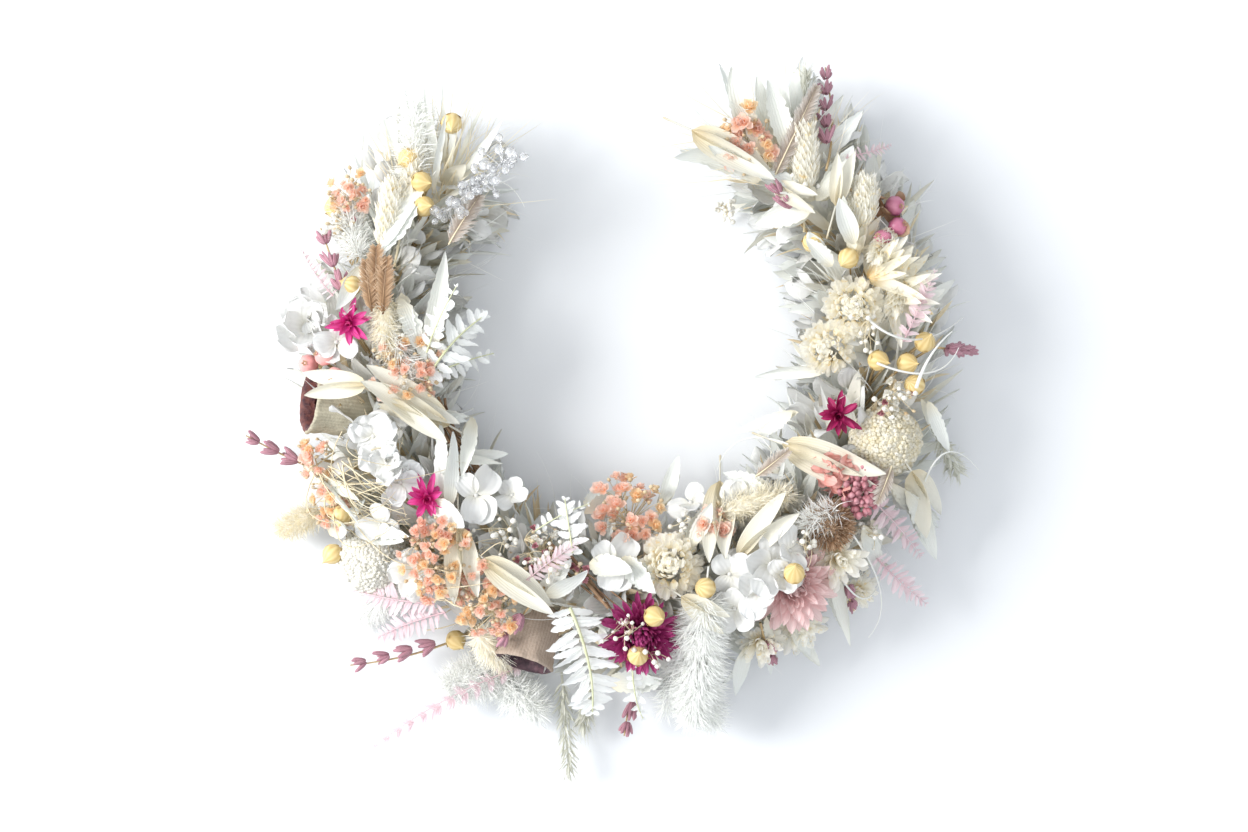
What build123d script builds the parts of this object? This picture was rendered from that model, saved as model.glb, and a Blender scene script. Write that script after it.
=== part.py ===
"""Dried-flower crown: an open wire ring, bound stems and tape, with every flower head set on it.

Frame: +Z up, the crown lies flat on z = 0, the origin is the centre of the ring,
and +Y points at the gap between the two ends. All lengths are millimetres.
"""
import os
from math import atan2, cos, degrees, hypot, pi, radians, sin, sqrt

from build123d import *

# ---- driving dimensions -------------------------------------------------------------------
RING_R = 92.0            # radius of the wire ring, for a 58 cm head
RING_START = 128.0       # degrees: where the ring starts, at the left end
RING_SWEEP = 290.0       # degrees round to the right end
WIRE_R = 0.8             # ring wire
EYE_R = 3.8              # centreline radius of the tie eyes at the wire's ends
EYE_REACH = 2.5          # bare wire between the tape and each eye, degrees of ring
STEM_R = 0.75            # stems bound to the wire
STEM_CIRCLE = 1.7        # radius of the stems' circle round the wire
BINDING_R = 0.3          # binding wire
TAPE_IN = 3.3
TAPE_OUT = 4.2
CORE_Z = TAPE_OUT        # the taped ring lies on the table

BUNCHES = 12             # bunches of stems along the ring
STEMS_PER_BUNCH = 3
TURNS_PER_BUNCH = 3      # turns of binding wire that hold each bunch
BUNCH_SPAN = 40.0        # degrees of ring that one bunch's stems cover

MOUND_HALF = 36.0        # half width of the mound of flowers over the ring
MOUND_RISE = 38.0        # its height over the tape
LEAF_T = 0.7             # thickness of a leaf, petal or feather
FLAX_D = 7.6             # dry flax capsule
BERRY_D = 7.4            # pepper berry
KEPT_PART = 0.25         # a piece trimmed below this share of its volume is left out

# ---- places of the pieces: x, y in mm, chosen by eye round the ring -----------------------
# a third number lifts a piece off the mound, onto the flower under it
FLAX_PODS = {
    "left": [(-65, 83), (-81, 70), (-76, 61), (-75, 52), (-110, 53), (-102, 23)],
    "base": [(-108, -63, 2), (-112, -78, 13), (-66, -112), (10, -99, 9), (4, -114, 9), (29, -89, 3),
             (61, -83, 10)],
    "right": [(69, 39), (82, 33), (93, -5), (104, -6), (111, 2), (107, -14)],
}
# each spike runs from its first x, y to its second
LAVENDER = {
    "left": [((-124, -44), (-146, -33)), ((-105, 19), (-115, 45))],
    "base": [((-71, -112), (-106, -121)), ((-37, -97), (-49, -112)), ((3, -133), (-1, -148)),
             ((52, -109), (56, -121))],
    "right": [((74, 74), (76, 108)), ((119, 0), (133, -1)), ((83, -88), (87, -100)),
              ((62, 50), (54, 60))],
}
BERRIES = {
    "left": [(-120, -6), (-113, -3), (-109, -11)],
    "right": [(101, 45), (95, 40), (100, 53)],
}
STAR_FLOWERS = {"left": (-103, 9), "lower_left": (-74, -56), "right": (78, -25)}
# x, y, radius of the spray
PEACH_GYPSOPHILA = {
    "left": [(-103, 58, 8), (-81, -8, 13), (-117, -42, 7), (-113, -57, 10), (-60, -80, 16),
             (-52, -97, 10)],
    "base": [(3, -63, 14), (33, -67, 7)],
    "right": [(45, 76, 11)],
}
WHITE_GYPSOPHILA = [(-33, -75, 10), (100, -19, 8), (-106, 46, 6)]
OAT_HUSKS = {
    "left": [((-66, -29), (-96, -10)), ((-88, -19), (-62, -30)), ((-62, -66), (-60, -96)),
             ((-53, -78), (-27, -96)), ((-96, -14), (-120, -12))],
    "base": [((35, -50), (33, -78)), ((41, -78), (60, -54)), ((20, -92), (38, -104))],
    "right": [((58, -36), (94, -50)), ((106, -46), (120, -65)), ((54, 60), (71, 51)),
              ((24, 80), (54, 64)), ((77, 52), (82, 72))],
}
HYDRANGEA = {
    "left": [(-56, -55, 8), (-43, -55, 6), (-90, -35, 10), (-117, 2, 8), (-84, -47, 7)],
    "base": [(-5, -82, 9), (43, -92, 8), (35, -84, 7), (49, -82, 6), (43, -56, 6)],
}
WHITE_FERN = {
    "left": [((-76, -14), (-57, 15), 14), ((-76, 12), (-62, 26), 7)],
    "base": [((-10, -99), (-6, -133), 26), ((-20, -72), (-22, -58), 8)],
}
PINK_FERN = {
    "left": [((-109, 19), (-124, 38), 6), ((-71, -95), (-101, -99), 9)],
    "base": [((-37, -86), (-18, -72), 7), ((-41, -122), (-97, -152), 6)],
    "right": [((92, -57), (112, -79), 10), ((96, -80), (114, -97), 10), ((100, 3), (119, 22), 8),
              ((81, 70), (99, 76), 6)],
}
# base, tip, diameter of each grass head
BUNNY_TAILS = [((-90, 18), (-88, -2), 9), ((-56, -108), (-46, -120), 10), ((-118, -62), (-134, -70), 9)]
PHALARIS = [((-90, 36), (-86, 61), 8), ((66, 57), (66, 82), 8), ((87, 44), (88, 62), 9)]
# base, tip, width of each feather
FEATHERS = {
    "left": [((-92, 14), (-91, 36), 10), ((-66, 38), (-54, 56), 9)],
    "right": [((54, 62), (71, 98), 8), ((48, -48), (60, -38), 6), ((98, -44), (92, -58), 6)],
}
GRASS_SPIKES = [((-25, -128), (-22, -166)), ((66, 84), (68, 106)), ((118, -34), (128, -48))]
# leaves under the flowers
SKIRT_STEP = 12.5        # degrees between neighbours
SKIRT_WIDE = 8.5
OUTER_LONG = 32.0        # leaves that point away from the head
INNER_LONG = 24.0
BASE_INNER_LONG = 29.0   # the wreath is widest at its middle
LOW = -2.5               # how far the tips of the lowest leaves drop
HIGH = 20.0              # and how far the tips of the upper leaves rise
STALK_R = 0.55
STALK_SLANT = 8.0        # degrees of ring between a flower and its stalk's foot
TAIL_FAN = [-48, -26, -4, 18, 40]   # turns of the leaves that finish each end


def off_ring(x, y):
    """How far a place lies outside (+) or inside (-) the wire ring, seen from above."""
    return hypot(x, y) - RING_R


def mound_height(x, y):
    """Height of the mound of flowers over a place."""
    share = min(1.0, abs(off_ring(x, y)) / MOUND_HALF)
    return CORE_Z + TAPE_OUT + MOUND_RISE * sqrt(1.0 - share**2)


def mound_normal(x, y):
    """The way a flower head at a place looks: up, and leaning away from the ring."""
    lean = 0.7 * max(-1.0, min(1.0, off_ring(x, y) / MOUND_HALF))
    away = Vector(x, y, 0).normalized() * lean
    return (away + Vector(0, 0, 1)).normalized()


def on_mound(x, y, lift=0.0):
    """A point on the mound over x, y, moved up by lift."""
    return Vector(x, y, mound_height(x, y) + lift)


def facing(solid, x, y, lift=0.0, way=None):
    """Set a solid made round +Z on the mound, looking out of it or the way given."""
    return Plane(origin=on_mound(x, y, lift), z_dir=way or mound_normal(x, y)) * solid


def along(solid, base, tip):
    """Set a solid made along +X, lying in XY, so that it runs from base to tip."""
    run = tip - base
    side = Vector(0, 0, 1).cross(run)
    return Plane(origin=base, x_dir=run, z_dir=run.cross(side)) * solid


def turned(points):
    """A solid of revolution round +Z from (radius, height) corners, ends on the axis."""
    outline = Polyline(*[(r, 0, z) for r, z in points], (points[0][0], 0, points[0][1]))
    return revolve(make_face(outline), Axis.Z)


def ring_tube(radius, height, tube_r, start, sweep):
    """A round tube that follows a level arc about the ring's centre."""
    section = Plane.XZ * Pos(radius, height) * Circle(tube_r)
    return Rot(0, 0, start) * revolve(section, Axis.Z, revolution_arc=sweep)


def ring_frame(angle):
    """A plane across the ring at an angle: its Z runs along the wire."""
    spot = (RING_R * cos(radians(angle)), RING_R * sin(radians(angle)), CORE_Z)
    return Plane(origin=spot, x_dir=(0, 0, 1), z_dir=(-sin(radians(angle)), cos(radians(angle)), 0))


# ---- the band -----------------------------------------------------------------------------
def core_wire():
    """The ring wire, with an eye bent at each end for a ribbon or a hair pin."""
    wire = ring_tube(RING_R, CORE_Z, WIRE_R, RING_START - EYE_REACH, RING_SWEEP + 2 * EYE_REACH)
    for angle, way in ((RING_START - EYE_REACH, -1), (RING_START + RING_SWEEP + EYE_REACH, 1)):
        frame = ring_frame(angle)
        centre = frame.origin + frame.z_dir * (way * EYE_R)
        wire += Pos(*centre) * Torus(EYE_R, WIRE_R)
    return [wire]


def bunch_start(bunch):
    """The angle on the ring where a bunch's stems start."""
    return RING_START + 1 + bunch * (RING_SWEEP - BUNCH_SPAN - 2) / (BUNCHES - 1)


def bound_stems():
    """The stems of each bunch, laid round the wire. Every second bunch takes the other gaps."""
    stems = []
    for bunch in range(BUNCHES):
        for stem in range(STEMS_PER_BUNCH):
            turn = radians(120 * stem + 60 * (bunch % 2))
            radius = RING_R + STEM_CIRCLE * cos(turn)
            height = CORE_Z + STEM_CIRCLE * sin(turn)
            stems.append(ring_tube(radius, height, STEM_R, bunch_start(bunch), BUNCH_SPAN))
    return stems


def binding_wire():
    """Turns of thin wire round the stems, in threes, one set for each bunch."""
    turns = []
    for bunch in range(BUNCHES):
        for turn in range(TURNS_PER_BUNCH):
            angle = bunch_start(bunch) + 6 + 1.1 * turn
            loop = Torus(STEM_CIRCLE + STEM_R + BINDING_R + 0.05, BINDING_R)
            turns.append(ring_frame(angle) * loop)
    return turns


def tape_wrap():
    """The sleeve of florist's tape over wire, stems and binding."""
    outer = ring_tube(RING_R, CORE_Z, TAPE_OUT, RING_START, RING_SWEEP)
    inner = ring_tube(RING_R, CORE_Z, TAPE_IN, RING_START - 1, RING_SWEEP + 2)
    return [outer - inner]


# ---- one piece of each kind, made round +Z or along +X ------------------------------------
def pod(size=FLAX_D):
    """A flax capsule with its pointed tip."""
    half = size / 2
    return turned([(0, -half), (0.5 * half, -0.86 * half), (0.87 * half, -0.5 * half), (half, 0),
                   (0.87 * half, 0.5 * half), (0.5 * half, 0.95 * half), (0.12 * half, 1.3 * half),
                   (0, 1.6 * half)])


def gumnut(length=27.0, radius=12.0, wall=2.4):
    """A woody cup: a bark barrel with a rolled rim, hollow down to its seed valves."""
    shell = turned([(0, 0), (0.55 * radius, 0), (0.93 * radius, 0.22 * length), (radius, 0.6 * length),
                    (radius, length), (radius - wall, length), (radius - wall, 0.62 * length),
                    (0, 0.55 * length)])
    return Pos(0, 0, -length / 2) * shell


def everlasting(radius, depth):
    """A strawflower or pompon: a bowl of bracts round a low boss."""
    return turned([(0, -depth), (0.45 * radius, -depth), (0.9 * radius, -0.45 * depth), (radius, 0),
                   (0.75 * radius, 0.25 * depth), (0.35 * radius, 0.4 * depth), (0, 0.45 * depth)])


def star_flower(radius=7.5, petals=8):
    """A starry dyed floret: pointed petals round a small cone."""
    corners = []
    for step in range(2 * petals):
        reach = radius if step % 2 == 0 else 0.42 * radius
        corners.append((reach * cos(pi * step / petals), reach * sin(pi * step / petals)))
    star = extrude(make_face(Polyline(*corners, close=True)), 1.4)
    return star + Pos(0, 0, -2.4) * Cone(0.6, 0.38 * radius, 5.0)


def spray(radius):
    """The room that a spray of gypsophila fills: a low crown of florets over its branches."""
    return turned([(0, -0.8 * radius), (0.3 * radius, -0.5 * radius), (0.9 * radius, -0.2 * radius),
                   (radius, 0), (0.65 * radius, 0.22 * radius), (0, 0.3 * radius)])


def spike(length, radius=2.3, whorl=5.0):
    """A lavender spike along +X: whorls of buds on a stalk."""
    count = max(2, round(length / whorl))
    step = length / count
    profile = [(0, 0)]
    for n in range(count):
        size = radius * (1 - 0.45 * n / count)
        profile += [(n * step + 0.01, 0.5), (n * step + 0.3 * step, size),
                    (n * step + 0.75 * step, 0.8 * size)]
    profile.append((length, 0))
    return revolve(make_face(Polyline(*profile, close=True)), Axis.X)


def leaf(length, width, thick=LEAF_T):
    """A lance-shaped blade along +X, of two arcs."""
    edges = ThreePointArc((0, 0), (0.45 * length, width / 2), (length, 0))
    edges += ThreePointArc((length, 0), (0.45 * length, -width / 2), (0, 0))
    return Pos(0, 0, -thick / 2) * extrude(make_face(edges), thick)


def petal(radius):
    """A hydrangea petal: a broad blade, round at the tip, facing +Z."""
    return Pos(0, 0, -LEAF_T / 2) * extrude(Ellipse(radius, 0.8 * radius), LEAF_T)


def fern(length, width, pairs):
    """A fern frond along +X: a midrib with pointed leaflets on both sides."""
    upper = [(0, 0.5)]
    for n in range(pairs):
        reach = width / 2 * sin(pi * (0.12 + 0.8 * (n + 0.5) / pairs)) ** 0.7
        upper += [(length * (n + 0.15) / pairs, 0.5), (length * (n + 0.75) / pairs, reach),
                  (length * (n + 0.7) / pairs, 0.5)]
    upper.append((length, 0))
    lower = [(x, -y) for x, y in reversed(upper[:-1])]
    return Pos(0, 0, -LEAF_T / 2) * extrude(make_face(Polyline(*upper, *lower, close=True)), LEAF_T)


def tail(length, width):
    """A soft grass head along +X: blunt at its foot and pointed at its tip."""
    profile = [(0, 0), (0.06 * length, 0.26 * width), (0.3 * length, 0.5 * width),
               (0.65 * length, 0.42 * width), (0.92 * length, 0.16 * width), (length, 0)]
    return revolve(make_face(Polyline(*profile, close=True)), Axis.X)


def needle(length, radius=1.2):
    """A thin grass spike along +X."""
    return revolve(make_face(Polyline((0, 0), (0.1 * length, radius), (length, 0), close=True)), Axis.X)


# ---- groups -------------------------------------------------------------------------------
def runs(pairs, maker, lift_base=0.0, lift_tip=0.0):
    """Pieces that lie along the mound from one place to another."""
    made = []
    for run in pairs:
        base = on_mound(*run[0], lift_base)
        tip = on_mound(*run[1], lift_tip)
        made.append(along(maker((tip - base).length, *run[2:]), base, tip))
    return made


def flax_pods(side):
    return [facing(pod(), x, y, 1.0 + sum(lift)) for x, y, *lift in FLAX_PODS[side]]


def lavender(side):
    return runs(LAVENDER[side], spike, 2.0, 3.0)


def berries(side):
    return [facing(Sphere(BERRY_D / 2), x, y, 1.0) for x, y in BERRIES[side]]


def peach_gypsophila(side):
    return [facing(spray(r), x, y) for x, y, r in PEACH_GYPSOPHILA[side]]


def oat_husks(side):
    return runs(OAT_HUSKS[side], lambda length: leaf(length, 0.32 * length, 1.2), 1.0, 4.0)


def hydrangea(side):
    return [facing(petal(r), x, y, 2.0) for x, y, r in HYDRANGEA[side]]


def white_fern(side):
    return runs(WHITE_FERN[side], lambda length, width: fern(length, width, 9), 1.0, 5.0)


def pink_fern(side):
    return runs(PINK_FERN[side], lambda length, width: fern(length, width, 10), 0.0, 2.0)


def feathers(side):
    return runs(FEATHERS[side], leaf, 1.0, 3.0)


def skirt_leaf(angle, turn, out, length, rise):
    """One leaf that leaves the tape sideways: out is +1 for outward and -1 for inward."""
    tilt = atan2(rise, length)
    foot = RING_R + out * TAPE_OUT * cos(tilt)
    base = Vector(foot * cos(radians(angle)), foot * sin(radians(angle)), CORE_Z + TAPE_OUT * sin(tilt))
    way = angle + turn + (0 if out > 0 else 180)
    reach = Vector(cos(radians(way)), sin(radians(way)), 0) * length
    return along(leaf(length, SKIRT_WIDE), base, base + reach + Vector(0, 0, rise))


def skirt(first, last, out, turn, length, rise):
    """A row of leaves along a stretch of the ring."""
    count = round((last - first) / SKIRT_STEP) + 1
    step = (last - first) / (count - 1)
    return [skirt_leaf(first + n * step, turn, out, length, rise) for n in range(count)]


def ruscus(first, last, turn, inner):
    """The foliage of one stretch: a low and a raised row, outside and inside the ring."""
    offset = SKIRT_STEP / 2
    low = skirt(first, last, 1, turn, OUTER_LONG, LOW) + skirt(first, last, -1, -turn, inner, LOW)
    high = skirt(first + offset, last - offset, 1, turn, OUTER_LONG - 4, HIGH)
    high += skirt(first + offset, last - offset, -1, -turn, inner - 4, HIGH)
    return low + high


def end_spray(angle, way):
    """The leaves that fan out over one end of the ring."""
    leaves = []
    for n, turn in enumerate(TAIL_FAN):
        spot = ring_frame(angle - way * 2 * n)
        heading = degrees(atan2(spot.z_dir.Y * way, spot.z_dir.X * way)) + turn
        base = Vector(*spot.origin) + Vector(0, 0, TAPE_OUT + 1 + 3 * n)
        reach = Vector(cos(radians(heading)), sin(radians(heading)), 0.15 * n) * 30
        leaves.append(along(leaf(reach.length, SKIRT_WIDE), base, base + reach))
    return leaves


def stalk(x, y, lift):
    """The stalk of one flower, from the tape to the flower's underside."""
    top = on_mound(x, y, lift)
    angle = degrees(atan2(y, x)) % 360
    angle += 360 if angle < 90 else 0
    angle += STALK_SLANT if angle < 270 else -STALK_SLANT
    angle = max(RING_START + 1, min(RING_START + RING_SWEEP - 1, angle))
    middle = Vector(RING_R * cos(radians(angle)), RING_R * sin(radians(angle)), CORE_Z)
    foot = middle + (top - middle).normalized() * (TAPE_OUT + 0.02)
    run = top - foot
    return Plane(origin=foot, z_dir=run) * Pos(0, 0, run.length / 2) * Cylinder(STALK_R, run.length)


def stalks(side):
    """The stalks of a side's heads, each ending under its own flower."""
    heads = {
        "left": [(-96, -80, 0), (-108, -21, 0), (*STAR_FLOWERS["left"], 1),
                 (*STAR_FLOWERS["lower_left"], 1)],
        "base": [(5, -107, -8), (60, -90, -9), (16, -81, -8), (-33, -109, -14)],
        "right": [(97, -35, -20), (84, 17, -8), (75, 0, -8), (75, -66, -8), (82, -82, -6),
                  (*STAR_FLOWERS["right"], 1), (86, -53, -5)],
    }[side]
    small = [(x, y, -2 + sum(lift)) for x, y, *lift in FLAX_PODS[side]]
    small += [(x, y, -2) for x, y in BERRIES.get(side, [])]
    sprays = [(x, y, -0.7 * r) for x, y, r in PEACH_GYPSOPHILA[side]]
    return [stalk(*head) for head in heads + small + sprays]


PIECES = {
    "core_wire": core_wire,
    "bound_stems": bound_stems,
    "binding_wire": binding_wire,
    "tape_wrap": tape_wrap,
    "flower_stalks_left": lambda: stalks("left"),
    "flower_stalks_base": lambda: stalks("base"),
    "flower_stalks_right": lambda: stalks("right"),
    "gumnut_left": lambda: [facing(gumnut(), -108, -21, -19, Vector(-1, 0.15, 0.25))],
    "gumnut_base": lambda: [facing(gumnut(26, 11), -33, -109, -14, Vector(0.1, -1, 0.2))],
    "craspedia_ball": lambda: [facing(Sphere(13.7), 97, -35, -8)],
    "cream_ball": lambda: [facing(Sphere(14.5), -96, -80, 0)],
    "strawflower_magenta": lambda: [facing(everlasting(16, 9), 5, -107)],
    "strawflower_pink": lambda: [facing(everlasting(15, 10), 60, -90)],
    "cream_pompon_base": lambda: [facing(everlasting(11.5, 9), 16, -81, 1)],
    "cream_pompons_right": lambda: [facing(everlasting(12, 9), 84, 17, -1),
                                    facing(everlasting(10, 8), 75, 0, -1)],
    "scabiosa_head": lambda: [facing(everlasting(10.5, 9), 75, -66, 0)],
    "serrated_daisy": lambda: [facing(everlasting(9, 7), 82, -82, 0)],
    "star_flower_left": lambda: [facing(star_flower(), *STAR_FLOWERS["left"], 3)],
    "star_flower_lower_left": lambda: [facing(star_flower(), *STAR_FLOWERS["lower_left"], 3)],
    "star_flower_right": lambda: [facing(star_flower(), *STAR_FLOWERS["right"], 3)],
    "rice_flower": lambda: [facing(spray(8), 86, -53, 1)],
    "flax_pods_left": lambda: flax_pods("left"),
    "flax_pods_base": lambda: flax_pods("base"),
    "flax_pods_right": lambda: flax_pods("right"),
    "pepper_berries_left": lambda: berries("left"),
    "pepper_berries_right": lambda: berries("right"),
    "lavender_left": lambda: lavender("left"),
    "lavender_base": lambda: lavender("base"),
    "lavender_right": lambda: lavender("right"),
    "white_fern_left": lambda: white_fern("left"),
    "white_fern_base": lambda: white_fern("base"),
    "white_plume": lambda: runs([((28, -98), (24, -138))], lambda length: tail(length, 13), -2, 4),
    "bunny_tails": lambda: runs(BUNNY_TAILS, tail, 0, 1),
    "phalaris_heads": lambda: runs(PHALARIS, tail, 0, 4),
    "feathers_left": lambda: feathers("left"),
    "feathers_right": lambda: feathers("right"),
    "oat_husks_left": lambda: oat_husks("left"),
    "oat_husks_base": lambda: oat_husks("base"),
    "oat_husks_right": lambda: oat_husks("right"),
    "hydrangea_left": lambda: hydrangea("left"),
    "hydrangea_base": lambda: hydrangea("base"),
    "peach_gypsophila_left": lambda: peach_gypsophila("left"),
    "peach_gypsophila_base": lambda: peach_gypsophila("base"),
    "peach_gypsophila_right": lambda: peach_gypsophila("right"),
    "white_gypsophila": lambda: [facing(spray(r), x, y) for x, y, r in WHITE_GYPSOPHILA],
    "pink_fern_left": lambda: pink_fern("left"),
    "pink_fern_base": lambda: pink_fern("base"),
    "pink_fern_right": lambda: pink_fern("right"),
    "crystal_sprig": lambda: runs([((-69, 48), (-44, 68))], lambda length: leaf(length, 8), 2, 4),
    "grass_spikes": lambda: runs(GRASS_SPIKES, needle, 0, 2),
    "brown_twig": lambda: runs([((-27, -76), (-3, -97))], lambda length: needle(length, 1.6), -1, 0),
    "ruscus_leaves_left": lambda: ruscus(134, 216, -18, INNER_LONG),
    "ruscus_leaves_base": lambda: ruscus(228, 322, 8, BASE_INNER_LONG),
    "ruscus_leaves_right": lambda: ruscus(334, 412, 18, INNER_LONG),
    "end_spray_left": lambda: end_spray(RING_START + 6, -1),
    "end_spray_right": lambda: end_spray(RING_START + RING_SWEEP - 6, 1),
}


def boxes_meet(one, two):
    """Whether two bounding boxes overlap."""
    apart = (one.max.X <= two.min.X or two.max.X <= one.min.X
             or one.max.Y <= two.min.Y or two.max.Y <= one.min.Y
             or one.max.Z <= two.min.Z or two.max.Z <= one.min.Z)
    return not apart


def largest(shape):
    """The largest solid of a shape."""
    return max(shape.solids(), key=lambda solid: solid.volume)


def settled(piece, placed):
    """A piece trimmed where the pieces before it press into it, or None if little is left."""
    whole = piece.volume
    box = piece.bounding_box()
    for other_box, other in placed:
        if boxes_meet(box, other_box):
            rest = piece - other
            if not rest.solids():
                return None
            piece = largest(rest)
    return piece if piece.volume > KEPT_PART * whole else None


def build():
    """Make every node in turn, each one trimmed by those before it, and write it."""
    os.makedirs("parts", exist_ok=True)
    placed = []
    for name, make in PIECES.items():
        kept = []
        for piece in make():
            trimmed = settled(largest(piece), placed)
            if trimmed is not None:
                kept.append(trimmed)
                placed.append((trimmed.bounding_box(), trimmed))
        print(name, len(kept), "solids")
        export_step(kept[0] if len(kept) == 1 else Compound(children=kept), f"parts/{name}.step")


build()
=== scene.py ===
"""Dried-flower crown, dressed: every head, pod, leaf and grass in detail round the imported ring."""
import math

import bpy
import numpy as np
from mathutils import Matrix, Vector


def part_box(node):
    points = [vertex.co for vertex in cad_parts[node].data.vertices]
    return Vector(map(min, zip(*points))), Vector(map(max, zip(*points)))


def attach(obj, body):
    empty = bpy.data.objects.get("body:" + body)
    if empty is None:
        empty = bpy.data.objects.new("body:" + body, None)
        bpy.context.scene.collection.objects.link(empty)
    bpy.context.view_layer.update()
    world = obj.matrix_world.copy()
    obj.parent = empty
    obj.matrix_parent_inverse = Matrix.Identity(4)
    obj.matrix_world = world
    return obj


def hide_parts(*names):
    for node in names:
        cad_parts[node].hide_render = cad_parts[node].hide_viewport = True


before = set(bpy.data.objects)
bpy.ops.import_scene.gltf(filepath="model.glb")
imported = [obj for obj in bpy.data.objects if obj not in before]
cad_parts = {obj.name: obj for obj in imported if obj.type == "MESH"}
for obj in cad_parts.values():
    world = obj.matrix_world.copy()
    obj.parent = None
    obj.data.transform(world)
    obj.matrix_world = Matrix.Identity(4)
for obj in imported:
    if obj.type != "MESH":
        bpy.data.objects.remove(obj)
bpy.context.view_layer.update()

# ---- driving sizes, in millimetres -----------------------------------------------------------
MM = 0.001


def box_mm(node):
    """A node's lowest and highest corners, in millimetres."""
    low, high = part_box(node)
    return np.array(low) / MM, np.array(high) / MM


TAPE_LOW, TAPE_HIGH = box_mm("tape_wrap")
TAPE_R = (TAPE_HIGH[2] - TAPE_LOW[2]) / 2
CORE_Z = (TAPE_HIGH[2] + TAPE_LOW[2]) / 2
RING_R = (TAPE_HIGH[0] - TAPE_LOW[0]) / 2 - TAPE_R
RING_START = 128.0
RING_SWEEP = 290.0
WHOLE_RING = (RING_START, RING_START + RING_SWEEP)
MOUND_HALF = 36.0
MOUND_RISE = 38.0
TAPE_PITCH = 7.0
POD_R = 3.9
BERRY_R = 3.7
UP = np.array([0.0, 0.0, 1.0])
GOLDEN = math.pi * (3 - math.sqrt(5))
SIDES = ("left", "base", "right")

# In metres: nothing goes under LOWEST, and what passes HIGH upwards or FAR backwards is squeezed.
LOWEST = 0.0002
HIGH = 0.062
HIGH_SQUEEZE = 0.5
FAR = 0.112
FAR_SQUEEZE = 0.4

# ---- places on the mound, in millimetres; a pair of them is a start and an end ---------------
# x, y and how far a pod is lifted, if it is
FLAX_PODS = {
    "left": [(-65, 83), (-81, 70), (-76, 61), (-75, 52), (-110, 53), (-102, 23)],
    "base": [(-108, -63, 2), (-112, -78, 13), (-66, -112), (10, -99, 9), (4, -114, 9), (29, -89, 3),
             (61, -83, 15)],
    "right": [(69, 39), (82, 33), (93, -5), (104, -6), (111, 2), (107, -14)],
}
LAVENDER = {
    "left": [((-124, -44), (-146, -33)), ((-105, 19), (-115, 45))],
    "base": [((-71, -112), (-106, -121)), ((-37, -97), (-49, -112)), ((3, -133), (-1, -148)),
             ((52, -109), (56, -121))],
    "right": [((74, 74), (76, 108)), ((119, 0), (133, -1)), ((83, -88), (87, -100)),
              ((62, 50), (54, 60))],
}
BERRIES = {
    "left": [(-120, -6), (-113, -3), (-109, -11)],
    "right": [(101, 45), (95, 40), (100, 53)],
}
# x, y, radius of the spray
PEACH_GYPSOPHILA = {
    "left": [(-103, 58, 9), (-81, -8, 14), (-117, -42, 8), (-113, -57, 11), (-68, -78, 17),
             (-52, -96, 12)],
    "base": [(1, -62, 15), (33, -66, 8)],
    "right": [(45, 76, 12)],
}
WHITE_GYPSOPHILA = [(-33, -75, 10), (100, -19, 8), (-106, 46, 6), (-66, -70, 7), (86, 60, 6),
                    (-20, -84, 6)]
OAT_HUSKS = {
    "left": [((-66, -29), (-96, -10)), ((-88, -19), (-62, -30)), ((-62, -66), (-60, -96)),
             ((-53, -78), (-27, -96)), ((-96, -14), (-120, -12))],
    "base": [((35, -50), (33, -78)), ((41, -78), (60, -54)), ((20, -92), (38, -104))],
    "right": [((58, -36), (94, -50)), ((106, -46), (120, -65)), ((54, 60), (71, 51)),
              ((24, 80), (54, 64)), ((77, 52), (82, 72))],
}
# x, y, petal size, how crumpled it is, and its lift, if any
HYDRANGEA = {
    "left": [(-56, -55, 9, 0.03), (-43, -55, 6, 0.06), (-94, -33, 8, 0.2), (-89, -43, 7, 0.22),
             (-121, 8, 9, 0.10), (-84, -50, 7, 0.12), (-108, 2, 7, 0.05), (-80, -84, 8, 0.10),
             (-92, -66, 7, 0.08)],
    "base": [(-5, -80, 9, 0.08), (40, -97, 8, 0.05), (38, -84, 8, 0.05), (53, -80, 9, 0.05, 6),
             (60, -75, 7, 0.08, 5), (49, -90, 8, 0.05, 4), (57, -84, 6, 0.06, 8), (43, -56, 6, 0.10),
             (24, -58, 6, 0.08), (18, -126, 6, 0.12)],
}
# start, end, width, how crushed it is, height of its tip
WHITE_FERN = {
    "left": [((-74, -12), (-53, 12), 22, 0.4, 34), ((-72, -10), (-50, -2), 12, 0.5, 28),
             ((-74, -2), (-62, 22), 12, 0.5, 30)],
    "base": [((-21, -96), (-13, -137), 29, 0.2, 24), ((-20, -76), (-23, -56), 15, 0.35, 24),
             ((-34, -68), (-14, -58), 9, 0.4, 24), ((2, -118), (6, -140), 12, 0.4, 20)],
}
# start, end, width
PINK_FERN = {
    "left": [((-109, 19), (-124, 38), 9), ((-72, -96), (-104, -92), 16), ((-68, -99), (-95, -110), 14)],
    "base": [((-37, -86), (-18, -72), 10), ((-41, -122), (-97, -152), 10)],
    "right": [((88, -54), (112, -79), 14), ((94, -79), (114, -97), 13), ((102, 2), (114, 28), 11),
              ((81, 70), (99, 76), 8)],
}
BUNNY_TAILS = [((-90, 18), (-88, -2), 9), ((-56, -108), (-46, -120), 10), ((-118, -62), (-134, -70), 9),
               ((34, -62), (60, -54), 11)]
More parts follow.
